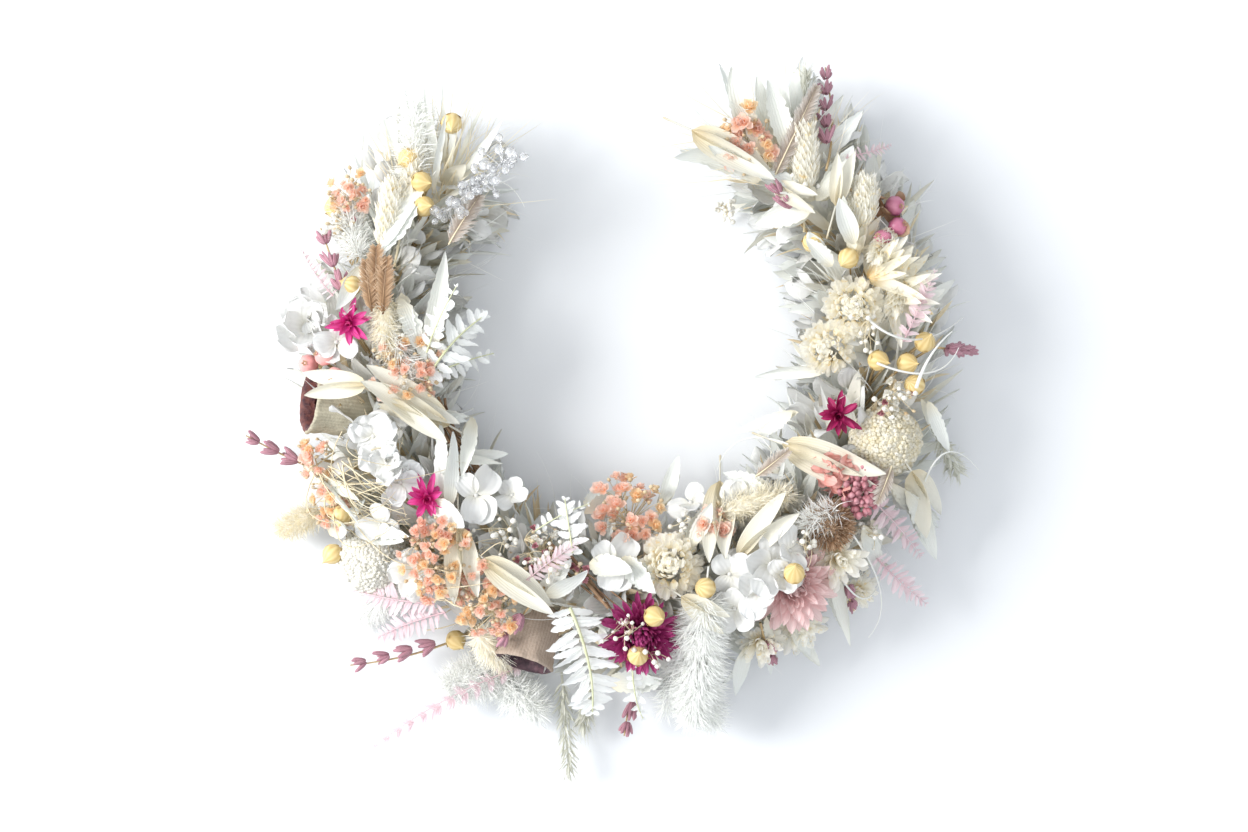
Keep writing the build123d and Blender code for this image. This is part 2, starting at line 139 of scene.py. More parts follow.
# start, end, width, number of hairs, height of its foot, height of its tip
WHITE_FLUFF = [((29, -93), (25, -141), 21, 6000, 5, 14), ((27, -120), (33, -144), 11, 1200, 2, 9),
               ((22, -104), (15, -138), 9, 1000, 2, 6), ((-42, -122), (-70, -130), 20, 2600, -4, 6),
               ((-84, -86), (-104, -104), 15, 1800, -9, -2), ((-80, 62), (-78, 92), 12, 1500, 0, 10),
               ((-100, 34), (-106, 54), 11, 1100, -3, 0), ((-52, -124), (-34, -140), 16, 1800, -2, 4),
               ((-88, 8), (-80, -12), 9, 700, 4, 4), ((78, -60), (66, -66), 9, 700, 3, 3)]
SMALL_PHALARIS = [((-84, 44), (-78, 72), 8), ((99, 44), (92, 34), 8), ((104, 26), (98, 14), 8)]
PHALARIS = [((-90, 36), (-86, 61), 8), ((66, 57), (66, 82), 8), ((87, 44), (88, 62), 9)]
# start, end, width, and whether it is brown
FEATHERS = {
    "left": [((-92, 14), (-92, 37), 9, True), ((-90, 12), (-88, 33), 8, True),
             ((-94, 13), (-96, 32), 7, True), ((-66, 38), (-54, 56), 9)],
    "right": [((54, 62), (71, 98), 8), ((48, -48), (60, -38), 6), ((98, -44), (92, -58), 6)],
}
# x, y, x and y of the tip, width
TOP_LEAVES = {
    "left": [(-77, 62, -90, 30, 11), (-58, -26, -60, -45, 7), (-66, -41, -47, -43, 5),
             (-124, -44, -97, -61, 7), (-115, -70, -96, -62, 8), (-72, -57, -58, -66, 9),
             (-92, -21, -59, -26, 8), (-84, 18, -74, -6, 9), (-75, -8, -66, 32, 9), (-98, 30, -108, 12, 7),
             (-66, -60, -64, -34, 6), (-104, -66, -80, -70, 8)],
    "base": [(-7, -127, 16, -122, 9), (32, -52, 35, -74, 8), (12, -60, 20, -48, 6), (-2, -78, 10, -90, 10),
             (-14, -80, 4, -84, 9), (45, -112, 40, -128, 7), (52, -100, 57, -122, 6), (-16, -62, -4, -54, 6),
             (24, -74, 32, -60, 8), (62, -104, 68, -116, 7), (-30, -92, -16, -84, 7)],
    "right": [(70, 57, 46, 63, 9), (69, 52, 49, 46, 10), (70, 54, 83, 70, 8), (50, 62, 32, 74, 9),
              (46, 78, 38, 104, 9), (73, -9, 54, -6, 6), (98, -50, 120, -66, 9), (52, -54, 41, -49, 7),
              (76, -80, 85, -106, 7), (84, 38, 76, 56, 8), (66, 84, 72, 104, 7), (104, -52, 116, -76, 8),
              (62, -24, 48, -34, 7), (88, -66, 96, -84, 7), (112, -20, 120, -38, 6), (60, 72, 52, 96, 9),
              (76, 30, 66, 40, 8), (104, 12, 118, 22, 7)],
}
# start, the middle place it bends towards, end, radius
STRANDS = [((88, 11), (104, -6), (128, 12), 0.55), ((107, -15), (110, -2), (121, 6), 0.7),
           ((112, -50), (118, -30), (134, -46), 0.4), ((92, -6), (116, -16), (124, 0), 0.5),
           ((-62, 60), (-44, 66), (-38, 52), 0.35), ((60, -36), (40, -28), (34, -46), 0.35),
           ((80, -86), (92, -104), (98, -84), 0.4), ((84, -70), (104, -96), (92, -110), 0.4)]
GRASS_SPIKES = [((-14, -130), (-17, -146)), ((-25, -128), (-22, -166)), ((66, 84), (68, 106)),
                ((118, -34), (128, -48))]
# x, y, radius, lift
PEARLS = [(8, -112, 9, 8), (-2, -104, 8, 7), (-30, -80, 9, 4), (100, -20, 9, 3), (38, 54, 6, -8),
          (-84, 4, 6, 1), (-106, 48, 7, 2), (66, -74, 7, 4), (-62, -88, 8, 3), (22, -66, 8, 2),
          (88, 8, 8, 2), (90, -70, 7, 2), (-46, -70, 8, 3), (62, 60, 7, 1)]
# x, y, x and y of the other end, number of stems
STRAW_STEMS = [(-114, -50, -84, -62, 22), (-102, -44, -80, -48, 10), (-78, -88, -50, -78, 20),
               (-108, -60, -84, -72, 12)]
# x, y, lift: where the stalks of the big heads end
BIG_HEADS = [(-96, -80, 0), (-108, -21, -4), (-103, 9, 1), (-74, -56, 1), (5, -107, -8), (60, -90, -9),
             (16, -81, -8), (-33, -109, -14), (97, -35, -20), (84, 17, -8), (75, 0, -8), (75, -66, -8),
             (82, -82, -6), (78, -25, 1), (86, -53, -5)]
# x, y, heading in degrees from +X, length
END_BRACTS = {
    "left": [(-70, 62, 98, 36), (-66, 66, 84, 34), (-74, 66, 106, 32), (-64, 66, 70, 32),
             (-80, 60, 112, 30), (-62, 62, 52, 28), (-68, 70, 90, 32), (-72, 58, 84, 30),
             (-66, 56, 30, 22)],
    "right": [(56, 66, 100, 34), (52, 70, 118, 32), (60, 70, 84, 34), (48, 70, 140, 30),
              (64, 70, 66, 30), (46, 66, 162, 28), (56, 74, 108, 28), (68, 66, 48, 30),
              (42, 72, 180, 26), (60, 78, 92, 26)],
}


# ---- the mound of flowers over the ring ------------------------------------------------------
def mound_height(x, y):
    """Height of the mound over a place."""
    share = min(1.0, abs(math.hypot(x, y) - RING_R) / MOUND_HALF)
    return CORE_Z + TAPE_R + MOUND_RISE * math.sqrt(1.0 - share**2)


def mound_normal(x, y):
    """The way a flower at a place looks: up, leaning away from the ring."""
    off = (math.hypot(x, y) - RING_R) / MOUND_HALF
    lean = 0.7 * max(-1.0, min(1.0, off)) / max(1.0, math.hypot(x, y))
    return unit(np.array([x * lean, y * lean, 1.0]))


def on_mound(x, y, lift=0.0):
    """The point of the mound over x, y, moved up by lift."""
    return np.array([x, y, mound_height(x, y) + lift])


def unit(v):
    """A vector scaled to length one."""
    return v / max(1e-9, np.linalg.norm(v))


def flat(turn):
    """The level way at an angle."""
    return np.array([math.cos(turn), math.sin(turn), 0.0])


def raised(turn, rise):
    """The way at an angle, raised from level, and the way it then faces."""
    out = flat(turn)
    return out * math.cos(rise) + UP * math.sin(rise), UP * math.cos(rise) - out * math.sin(rise)


def axes(base, tip):
    """The length of a stem from base to tip, and the ways along it, beside it and over it."""
    along = unit(tip - base)
    side = unit(np.cross(UP, along))
    return np.linalg.norm(tip - base), along, side, np.cross(along, side)


def seat(x, y, lift=0.0, spin=0.0):
    """The 4x4 matrix of a head that looks straight off the mound, lifted and turned."""
    return facing(on_mound(x, y, lift), mound_normal(x, y), spin)


def pose(origin, along, face):
    """A 4x4 matrix: local +X runs along, local +Z looks as near to face as it can."""
    x = unit(np.asarray(along, float))
    y = unit(np.cross(face, x))
    m = np.eye(4)
    m[:3, 0], m[:3, 1], m[:3, 2], m[:3, 3] = x, y, np.cross(x, y), origin
    return m


def facing(origin, face, spin=0.0, size=1.0):
    """A 4x4 matrix: local +Z looks along face, turned about it by spin."""
    side = flat(spin)
    z = unit(np.asarray(face, float))
    x = unit(side - z * np.dot(side, z))
    m = np.eye(4)
    m[:3, 0], m[:3, 1], m[:3, 2], m[:3, 3] = x * size, np.cross(z, x) * size, z * size, origin
    return m


# ---- meshes ----------------------------------------------------------------------------------
class Patch:
    """Some vertices in mm and their faces, with t from root to tip and s from edge to edge."""

    def __init__(self, co, faces, t, s):
        self.co = np.asarray(co, float).reshape(-1, 3)
        self.faces = [np.asarray(f, np.int64) for f in faces]
        self.t = np.broadcast_to(np.asarray(t, float).ravel(), (len(self.co),))
        self.s = np.broadcast_to(np.asarray(s, float).ravel(), (len(self.co),))

    def moved(self, m):
        """A copy of the patch set by a 4x4 matrix."""
        return Patch(self.co @ m[:3, :3].T + m[:3, 3], self.faces, self.t, self.s)


def joined(patches):
    """Several patches as one."""
    faces, start = [], 0
    for p in patches:
        faces += [f + start for f in p.faces]
        start += len(p.co)
    quads = [f for f in faces if f.shape[1] == 4]
    tris = [f for f in faces if f.shape[1] == 3]
    both = [np.concatenate(group) for group in (quads, tris) if group]
    return Patch(np.concatenate([p.co for p in patches]), both,
                 np.concatenate([p.t for p in patches]), np.concatenate([p.s for p in patches]))


def grid_faces(rows, columns, wrap=False):
    """Quads over a grid of rows by columns of vertices, closed round the columns if wrap is set."""
    last = columns if wrap else columns - 1
    r, c = np.meshgrid(np.arange(rows - 1), np.arange(last), indexing="ij")
    nxt = (c + 1) % columns
    return np.stack([r * columns + c, r * columns + nxt, (r + 1) * columns + nxt,
                     (r + 1) * columns + c], -1).reshape(-1, 4)


def blade(length, width, outline=(1.0, 0.8), rows=9, columns=5, bend=0.0, cup=0.0, twist=0.0,
          ruffle=0.0, phase=0.0, thick=0.0, teeth=0, ragged=0.0):
    """A leaf or petal from the origin along +X, facing +Z.

    outline is (skew, fullness): the widest place moves to the root as skew falls under one, and
    the shape fills out as fullness nears zero. bend curls it up, cup folds its edges up, ruffle
    waves them, teeth saws them, ragged tears them, and thick gives the blade an underside.
    """
    u = np.linspace(0.0, 1.0, rows)[:, None]
    v = np.linspace(-1.0, 1.0, columns)[None, :]
    skew, fullness = outline
    half = 0.5 * width * np.maximum(0.04, (4 * u**skew * (1 - u**skew)) ** fullness)
    if teeth:
        half = half * (1 - 0.28 * ((u * teeth) % 1.0))
    if ragged:
        tears = np.sin(37 * u + phase) * np.sin(23 * u + 2 * phase + 3 * np.sign(v))
        half = half * (1 - ragged * np.abs(tears))
    side = half * v
    rise = cup * half * v**2 + ruffle * width * np.sin(9 * u + 4 * v + phase) * np.abs(v) * u
    angle = twist * u
    side, rise = side * np.cos(angle) - rise * np.sin(angle), side * np.sin(angle) + rise * np.cos(angle)
    turn = bend * u if abs(bend) > 1e-3 else 1e-3 * u
    total = bend if abs(bend) > 1e-3 else 1e-3
    x = length * np.sin(turn) / total - rise * np.sin(turn)
    z = length * (1 - np.cos(turn)) / total + rise * np.cos(turn)
    co = np.stack([x + 0 * v, side + 0 * u, z + 0 * v], -1)
    t, s = np.broadcast_to(u, side.shape), np.broadcast_to(v, side.shape)
    top = Patch(co, [grid_faces(rows, columns)], t, s)
    if not thick:
        return top
    depth = thick * (1 - v**4) * (1 - (2 * u - 1) ** 8)
    under = co - np.stack([0 * depth, 0 * depth, depth], -1)
    return joined([top, Patch(under, [grid_faces(rows, columns)[:, ::-1]], t, s)])


def lathe(profile, sides=12, ribs=0, rib_depth=0.0, warp=None):
    """A turned form round +Z from (radius, height) pairs, ribbed or warped by a share of its radius."""
    profile = np.asarray(profile, float)
    turn = np.linspace(0, 2 * math.pi, sides, endpoint=False)[None, :]
    radius = profile[:, :1] * (1 + rib_depth * np.cos(ribs * turn))
    if warp is not None:
        radius = radius * (1 + warp(turn, profile[:, 1:]))
    co = np.stack([radius * np.cos(turn), radius * np.sin(turn), profile[:, 1:] + 0 * turn], -1)
    t = np.linspace(0, 1, len(profile))[:, None] + 0 * turn
    s = turn / math.pi - 1 + 0 * radius
    return Patch(co, [grid_faces(len(profile), sides, wrap=True)], t, s)


def tube(points, radius, sides=5):
    """A round tube through points; radius is a number or one number for each point."""
    p = np.asarray(points, float)
    r = np.broadcast_to(np.asarray(radius, float), (len(p),))
    way = np.gradient(p, axis=0)
    way /= np.maximum(1e-9, np.linalg.norm(way, axis=1))[:, None]
    guess = np.where(np.abs(way[:, 2:]) > 0.9, [[1.0, 0, 0]], [[0, 0, 1.0]])
    a = np.cross(way, guess)
    a /= np.linalg.norm(a, axis=1)[:, None]
    b = np.cross(way, a)
    turn = np.linspace(0, 2 * math.pi, sides, endpoint=False)
    co = p[:, None] + r[:, None, None] * (np.cos(turn)[None, :, None] * a[:, None]
                                          + np.sin(turn)[None, :, None] * b[:, None])
    t = np.linspace(0, 1, len(p))[:, None] + 0 * turn[None]
    s = turn[None] / math.pi - 1 + 0 * t
    return Patch(co, [grid_faces(len(p), sides, wrap=True)], t, s)


def bow(start, end, sag, count=6):
    """Points on a shallow arc from start to end that bulges by the vector sag."""
    u = np.linspace(0, 1, count)[:, None]
    return (1 - u) * np.asarray(start, float) + u * np.asarray(end, float) + 4 * u * (1 - u) * np.asarray(sag)


class Heap:
    """Patches gathered for one piece, each with its own random number and material."""

    def __init__(self):
        self.patches, self.rnd, self.mat = [], [], []

    def add(self, patch, m=None, rnd=0.5, mat=0):
        """Take in a patch, set by m, with its random number and the index of its material."""
        self.patches.append(patch if m is None else patch.moved(m))
        self.rnd.append(rnd)
        self.mat.append(mat)

    def make(self, name, materials, nodes=()):
        """Build the piece from keys of M, ride it on the crown and let it stand for its CAD nodes."""
        counts = [len(p.co) for p in self.patches]
        starts = np.cumsum([0] + counts[:-1])
        co = np.concatenate([p.co for p in self.patches]) * MM
        co[:, 2] = np.maximum(co[:, 2], LOWEST)
        co[:, 2] -= HIGH_SQUEEZE * np.maximum(0.0, co[:, 2] - HIGH)
        co[:, 1] -= FAR_SQUEEZE * np.maximum(0.0, co[:, 1] - FAR)
        quads, tris, quad_mat, tri_mat = [], [], [], []
        for p, start, mat in zip(self.patches, starts, self.mat):
            for f in p.faces:
                (quads if f.shape[1] == 4 else tris).append(f + start)
                (quad_mat if f.shape[1] == 4 else tri_mat).append(np.full(len(f), mat))
        corners = [np.concatenate(group).ravel() for group in (quads, tris) if group]
        sizes = [np.full(sum(len(f) for f in group), k) for group, k in ((quads, 4), (tris, 3)) if group]
        sizes, corners = np.concatenate(sizes), np.concatenate(corners)
        mesh = bpy.data.meshes.new(name)
        mesh.vertices.add(len(co))
        mesh.vertices.foreach_set("co", co.ravel())
        mesh.loops.add(len(corners))
        mesh.loops.foreach_set("vertex_index", corners.astype(np.int32))
        mesh.polygons.add(len(sizes))
        mesh.polygons.foreach_set("loop_start", (np.cumsum(sizes) - sizes).astype(np.int32))
        mesh.polygons.foreach_set("material_index", np.concatenate(quad_mat + tri_mat).astype(np.int32))
        mesh.polygons.foreach_set("use_smooth", np.ones(len(sizes), bool))
        values = {"t": np.concatenate([p.t for p in self.patches]),
                  "s": np.concatenate([p.s for p in self.patches]),
                  "rnd": np.repeat(self.rnd, counts)}
        for key, value in values.items():
            mesh.attributes.new(key, "FLOAT", "POINT").data.foreach_set("value", value.astype(np.float32))
        mesh.update(calc_edges=True)
        for material in materials:
            mesh.materials.append(M[material])
        piece = bpy.data.objects.new(name, mesh)
        bpy.context.scene.collection.objects.link(piece)
        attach(piece, "root")
        if nodes:
            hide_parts(*nodes)


def gather(name, seed, rows, grow, materials, slot, *nodes):
    """One piece: grow(heap, rng, *row) for each row of places."""
    rng = np.random.default_rng(seed)
    heap = Heap()
    for row in rows:
        grow(heap, rng, *row)
    heap.make(name, materials, nodes)


# ---- materials -------------------------------------------------------------------------------
class Finish:
    """A procedural material built up from small node calls."""

    def __init__(self, name, roughness=0.7, sheen=0.0, coat=0.0, translucent=0.0):
        self.material = bpy.data.materials.new(name)
        self.material.use_nodes = True
        self.tree = self.material.node_tree
        self.shader = self.tree.nodes["Principled BSDF"]
        self.feed(self.shader, Roughness=roughness)
        self.shader.inputs["Sheen Weight"].default_value = sheen
        self.shader.inputs["Coat Weight"].default_value = coat
        self.through = None
        if translucent:
            self.through = self.tree.nodes.new("ShaderNodeBsdfTranslucent")
            both = self.tree.nodes.new("ShaderNodeMixShader")
            both.inputs["Fac"].default_value = translucent
            self.tree.links.new(self.shader.outputs["BSDF"], both.inputs[1])
            self.tree.links.new(self.through.outputs["BSDF"], both.inputs[2])
            self.feed(self.tree.nodes["Material Output"], Surface=both.outputs["Shader"])

    def put(self, socket, value):
        """Set a socket to a number or a colour, or link another socket to it."""
        if isinstance(value, (int, float)):
            socket.default_value = value
        elif isinstance(value, tuple):
            socket.default_value = (*value, 1.0)
        else:
            self.tree.links.new(value, socket)

    def feed(self, node, **values):
        """Put values into the sockets of a node that have those names."""
        for name, value in values.items():
            self.put(node.inputs[name], value)

    def attribute(self, name):
        node = self.tree.nodes.new("ShaderNodeAttribute")
        node.attribute_name = name
        return node.outputs["Fac"]

    def math(self, operation, *values):
        node = self.tree.nodes.new("ShaderNodeMath")
        node.operation = operation
        for socket, value in zip(node.inputs, values):
            self.put(socket, value)
        return node.outputs[0]

    def noise(self, scale, detail=3.0):
        place = self.tree.nodes.new("ShaderNodeTexCoord")
        node = self.tree.nodes.new("ShaderNodeTexNoise")
        self.feed(node, Scale=scale, Detail=detail, Vector=place.outputs["Object"])
        return node.outputs["Fac"]

    def ramp(self, value, stops):
        node = self.tree.nodes.new("ShaderNodeValToRGB")
        bar = node.color_ramp
        while len(bar.elements) < len(stops):
            bar.elements.new(0.5)
        for element, (place, colour) in zip(bar.elements, stops):
            element.position = place
            element.color = (*colour, 1.0)
        self.feed(node, Fac=value)
        return node.outputs["Color"]

    def mix(self, value, a, b):
        node = self.tree.nodes.new("ShaderNodeMix")
        node.data_type = "RGBA"
        self.feed(node, Factor=value, A=a, B=b)
        return node.outputs["Result"]

    def colour(self, value):
        self.put(self.shader.inputs["Base Color"], value)
        if self.through:
            self.feed(self.through, Color=value)

    def bump(self, height, strength, distance=0.0003):
        node = self.tree.nodes.new("ShaderNodeBump")
        self.feed(node, Strength=strength, Distance=distance, Height=height)
        self.feed(self.shader, Normal=node.outputs["Normal"])


# Noise scales, in cells to the metre.
BLOTCHES = 220.0
FLECKS = 420.0
PORES = 900.0


def veined(name, root, middle, tip, shade, veins=22.0, roughness=0.62, spots=None, translucent=0.3,
           varied=0.32, coat=0.0):
    """A leaf or petal: colour from root to tip, long veins, blotches, and each one a little different."""
    f = Finish(name, roughness, coat=coat, translucent=translucent)
    base = f.ramp(f.attribute("t"), [(0.0, root), (0.35, middle), (1.0, tip)])
    lines = f.math("MULTIPLY_ADD", f.math("SINE", f.math("MULTIPLY", f.attribute("s"), veins)), 0.5)
    blotch = f.noise(BLOTCHES, 4.0)
    dark = f.math("MULTIPLY", f.math("SUBTRACT", 1.0, lines), 0.13)
    colour = f.mix(dark, base, shade)
    colour = f.mix(f.math("MULTIPLY", f.attribute("rnd"), varied), colour, shade)
    if spots:
        colour = f.mix(f.ramp(f.noise(FLECKS, 2.0), [(0.60, (0, 0, 0)), (0.72, (1, 1, 1))]), colour, spots)
    colour = f.mix(f.math("MULTIPLY", blotch, 0.14), colour, shade)
    f.colour(colour)
    rough = f.math("ADD", f.math("MULTIPLY", f.noise(PORES), 0.25), roughness - 0.12)
    f.feed(f.shader, Roughness=rough)
    f.bump(f.math("ADD", lines, f.math("MULTIPLY", f.noise(PORES), 0.8)), 0.35)
    return f.material


def grained(name, light, dark, scale=300.0, roughness=0.7, stretch_s=0.0, strength=0.5, distance=0.0004,
            coat=0.0, sheen=0.0, varied=0.35, translucent=0.0, stripe=1.0):
    """A speckled or grained surface: pods, bark, stems, florets."""
    f = Finish(name, roughness, coat=coat, sheen=sheen, translucent=translucent)
    speck = f.noise(scale, 5.0)
    fac = f.ramp(speck, [(0.35, (0, 0, 0)), (0.68, (1, 1, 1))])
    if stretch_s:
        lines = f.math("SINE", f.math("MULTIPLY", f.attribute("s"), stretch_s))
        fac = f.math("MULTIPLY", f.math("ADD", f.math("MULTIPLY", lines, stripe), 1.0),
                     f.math("ADD", f.math("MULTIPLY", speck, 0.5), 0.15))
    colour = f.mix(fac, light, dark)
    colour = f.mix(f.math("MULTIPLY", f.attribute("rnd"), varied), colour, dark)
    f.colour(colour)
    f.feed(f.shader, Roughness=f.math("ADD", f.math("MULTIPLY", speck, 0.3), roughness - 0.15))
    f.bump(f.math("ADD", speck, f.math("MULTIPLY", f.noise(scale * 4), 0.4)), strength, distance)
    return f.material


def clear_bead():
    """The clear, faintly uneven plastic of the beads."""
    f = Finish("clear_bead", 0.05)
    f.shader.inputs["Transmission Weight"].default_value = 0.82
    f.feed(f.shader, IOR=1.55)
    f.colour(f.mix(f.noise(200.0), (1.0, 1.0, 1.0), (0.97, 0.98, 1.0)))
    f.bump(f.noise(PORES), 0.2)
    return f.material


M = {
    "leaf": veined("bleached_leaf", (0.87, 0.81, 0.65), (0.91, 0.925, 0.90), (0.92, 0.945, 0.94),
                   (0.84, 0.82, 0.70)),
    "husk": veined("oat_husk", (0.86, 0.76, 0.54), (0.92, 0.90, 0.82), (0.93, 0.93, 0.89),
                   (0.82, 0.77, 0.60), veins=40.0, roughness=0.5),
    "straw": veined("straw_bract", (0.66, 0.50, 0.28), (0.86, 0.74, 0.51), (0.92, 0.85, 0.68),
                    (0.70, 0.53, 0.31), veins=30.0, roughness=0.6, varied=0.8),
    "scale": veined("grass_scale", (0.95, 0.82, 0.52), (0.96, 0.95, 0.90), (0.97, 0.97, 0.95),
                    (0.95, 0.90, 0.74), veins=8.0, varied=0.5, translucent=0.4, spots=(0.94, 0.78, 0.46)),
    "grey_scale": veined("grey_grass_scale", (0.56, 0.54, 0.42), (0.77, 0.77, 0.69), (0.88, 0.88, 0.84),
                         (0.60, 0.60, 0.50), veins=8.0, varied=0.6),
    "petal": veined("white_petal", (0.87, 0.85, 0.76), (0.89, 0.89, 0.88), (0.90, 0.91, 0.91),
                    (0.85, 0.84, 0.79), veins=16.0, varied=0.25),
    "fern": veined("white_fern", (0.92, 0.93, 0.90), (0.94, 0.95, 0.94), (0.95, 0.96, 0.96),
                   (0.88, 0.90, 0.88), veins=10.0, varied=0.2),
    "awn": veined("dry_awn", (0.86, 0.72, 0.46), (0.93, 0.88, 0.74), (0.95, 0.94, 0.90), (0.90, 0.80, 0.58),
                  veins=4.0, varied=0.7, translucent=0.4),
    "rib": grained("fern_rib", (0.76, 0.78, 0.54), (0.60, 0.62, 0.38)),
    "pink_fern": veined("pink_frond", (0.84, 0.64, 0.67), (0.89, 0.76, 0.79), (0.93, 0.88, 0.90),
                        (0.84, 0.62, 0.67), veins=8.0, varied=0.5, translucent=0.4),
    "magenta": veined("magenta_bract", (0.26, 0.008, 0.09), (0.48, 0.03, 0.22), (0.66, 0.13, 0.36),
                      (0.26, 0.008, 0.10), veins=12.0, roughness=0.38, coat=0.15, translucent=0.25),
    "blush": veined("blush_bract", (0.93, 0.84, 0.78), (0.91, 0.67, 0.65), (0.93, 0.78, 0.76),
                    (0.82, 0.52, 0.52), veins=12.0, roughness=0.42, coat=0.1),
    "coral": veined("coral_petal", (0.80, 0.34, 0.28), (0.90, 0.50, 0.43), (0.93, 0.64, 0.57),
                    (0.74, 0.30, 0.28), veins=10.0),
    "cream_bract": veined("cream_bract", (1.0, 0.86, 0.54), (1.0, 0.98, 0.91), (1.0, 1.0, 0.98),
                          (1.0, 0.95, 0.80), veins=10.0, roughness=0.5, varied=0.3, translucent=0.6,
                          spots=(0.96, 0.82, 0.54)),
    "hot": veined("hot_pink_petal", (0.66, 0.015, 0.24), (0.90, 0.055, 0.42), (0.94, 0.22, 0.56),
                  (0.66, 0.01, 0.24), veins=12.0, roughness=0.5, translucent=0.4),
    "deep": veined("deep_pink_petal", (0.28, 0.004, 0.06), (0.52, 0.012, 0.14), (0.64, 0.05, 0.22),
                   (0.26, 0.004, 0.06), veins=12.0, roughness=0.5),
    "peach": veined("peach_floret", (1.0, 0.56, 0.26), (1.0, 0.76, 0.60), (1.0, 0.86, 0.80),
                    (1.0, 0.66, 0.55), veins=6.0, varied=0.4, translucent=0.5),
    "tan_floret": veined("tan_floret", (0.98, 0.62, 0.26), (1.0, 0.80, 0.52), (1.0, 0.90, 0.74),
                         (0.98, 0.72, 0.44), veins=6.0, varied=0.6, translucent=0.5),
    "white_floret": veined("white_floret", (0.92, 0.88, 0.74), (0.95, 0.94, 0.90), (0.96, 0.96, 0.94),
                           (0.92, 0.88, 0.76), veins=6.0, varied=0.4),
    "brown": veined("brown_floret", (0.22, 0.11, 0.05), (0.56, 0.36, 0.21), (0.84, 0.68, 0.50),
                    (0.36, 0.20, 0.11), veins=8.0, roughness=0.7, varied=0.8),
    "rose": veined("rose_bud", (0.40, 0.12, 0.14), (0.58, 0.22, 0.27), (0.74, 0.42, 0.45),
                   (0.34, 0.10, 0.12), veins=6.0, varied=0.7, translucent=0.1),
    "tan": veined("tan_husk", (0.50, 0.32, 0.16), (0.74, 0.58, 0.36), (0.84, 0.74, 0.54),
                  (0.50, 0.34, 0.18), veins=30.0, roughness=0.55),
    "stem": grained("dry_stem", (0.66, 0.50, 0.28), (0.36, 0.24, 0.11), 260.0, stretch_s=12.0),
    "pale_stem": grained("pale_stem", (0.84, 0.77, 0.58), (0.62, 0.50, 0.30), 260.0, stretch_s=12.0),
    "twig": grained("brown_twig", (0.42, 0.27, 0.16), (0.16, 0.09, 0.05), 320.0, roughness=0.85),
    "bark": grained("gumnut_bark", (0.62, 0.58, 0.45), (0.32, 0.28, 0.20), 260.0, roughness=0.9,
                    strength=0.9, distance=0.0006, stretch_s=170.0, stripe=0.35),
    "brown_bark": grained("brown_gumnut_bark", (0.52, 0.42, 0.34), (0.28, 0.21, 0.16), 260.0, roughness=0.9,
                          strength=0.9, distance=0.0006, stretch_s=170.0, stripe=0.35),
    "rim": grained("gumnut_rim", (0.22, 0.07, 0.05), (0.05, 0.014, 0.02), 420.0, roughness=0.6,
                   strength=0.9, distance=0.0006),
    # A darker, purpler copy of the gumnut rim for the base gumnut: the purple tint is the mouth's own colour,
    # and the extra darkness is painted shade for its shaded inside.
    "painted_shade_rim": grained("gumnut_rim_painted_shade", (0.11, 0.045, 0.06), (0.03, 0.012, 0.02), 420.0, roughness=0.6,
                        strength=0.9, distance=0.0006),
    "flax": grained("flax_pod", (0.82, 0.66, 0.34), (0.60, 0.42, 0.15), 240.0, roughness=0.5,
                    stretch_s=31.4, strength=0.4, coat=0.05, stripe=0.8, varied=0.6),
    "berry": grained("berry_skin", (0.66, 0.26, 0.36), (0.38, 0.09, 0.18), 160.0, roughness=0.38, coat=0.2),
    "salmon_berry": grained("salmon_berry", (0.90, 0.50, 0.46), (0.74, 0.29, 0.29), 160.0, roughness=0.42,
                            coat=0.15),
    "lavender": grained("lavender_bud", (0.64, 0.35, 0.41), (0.20, 0.065, 0.10), 350.0, roughness=0.75,
                        stretch_s=25.1, strength=0.6, sheen=0.1, stripe=0.7),
    "cream_ball": grained("cream_floret", (0.95, 0.93, 0.86), (0.90, 0.82, 0.60), 420.0, roughness=0.75,
                          varied=0.25, translucent=0.3),
    "hair": grained("grass_hair", (0.96, 0.95, 0.91), (0.93, 0.86, 0.67), 400.0, roughness=0.8, varied=0.5,
                    translucent=0.35),
    "white_hair": grained("plume_hair", (0.97, 0.97, 0.965), (0.93, 0.94, 0.90), 400.0, roughness=0.8,
                          varied=0.3, translucent=0.35),
    "feather": veined("feather_vane", (0.20, 0.10, 0.05), (0.62, 0.40, 0.22), (0.88, 0.70, 0.50),
                      (0.36, 0.20, 0.11), veins=6.0, varied=0.6),
    "grey_feather": veined("grey_feather", (0.34, 0.24, 0.18), (0.70, 0.62, 0.54), (0.90, 0.89, 0.87),
                           (0.48, 0.38, 0.30), veins=6.0, varied=0.5, translucent=0.4),
    "tape": grained("florist_tape", (0.80, 0.76, 0.64), (0.60, 0.52, 0.36), 260.0, roughness=0.6,
                    strength=0.9),
    "wire": grained("ring_wire", (0.60, 0.60, 0.58), (0.36, 0.36, 0.35), 500.0, roughness=0.35),
    "clear": clear_bead(),
}


# ---- one of each kind ------------------------------------------------------------------------
def ruscus_leaf(rng, length, width):
    """A bleached leaf, a little curled and twisted."""
    return blade(length, width, (0.85, 0.72), 11, 7, bend=rng.uniform(-0.5, 0.8), cup=rng.uniform(0.05, 0.4),
                 twist=rng.uniform(-0.6, 0.6), ruffle=0.03, phase=rng.uniform(0, 6), thick=0.22)


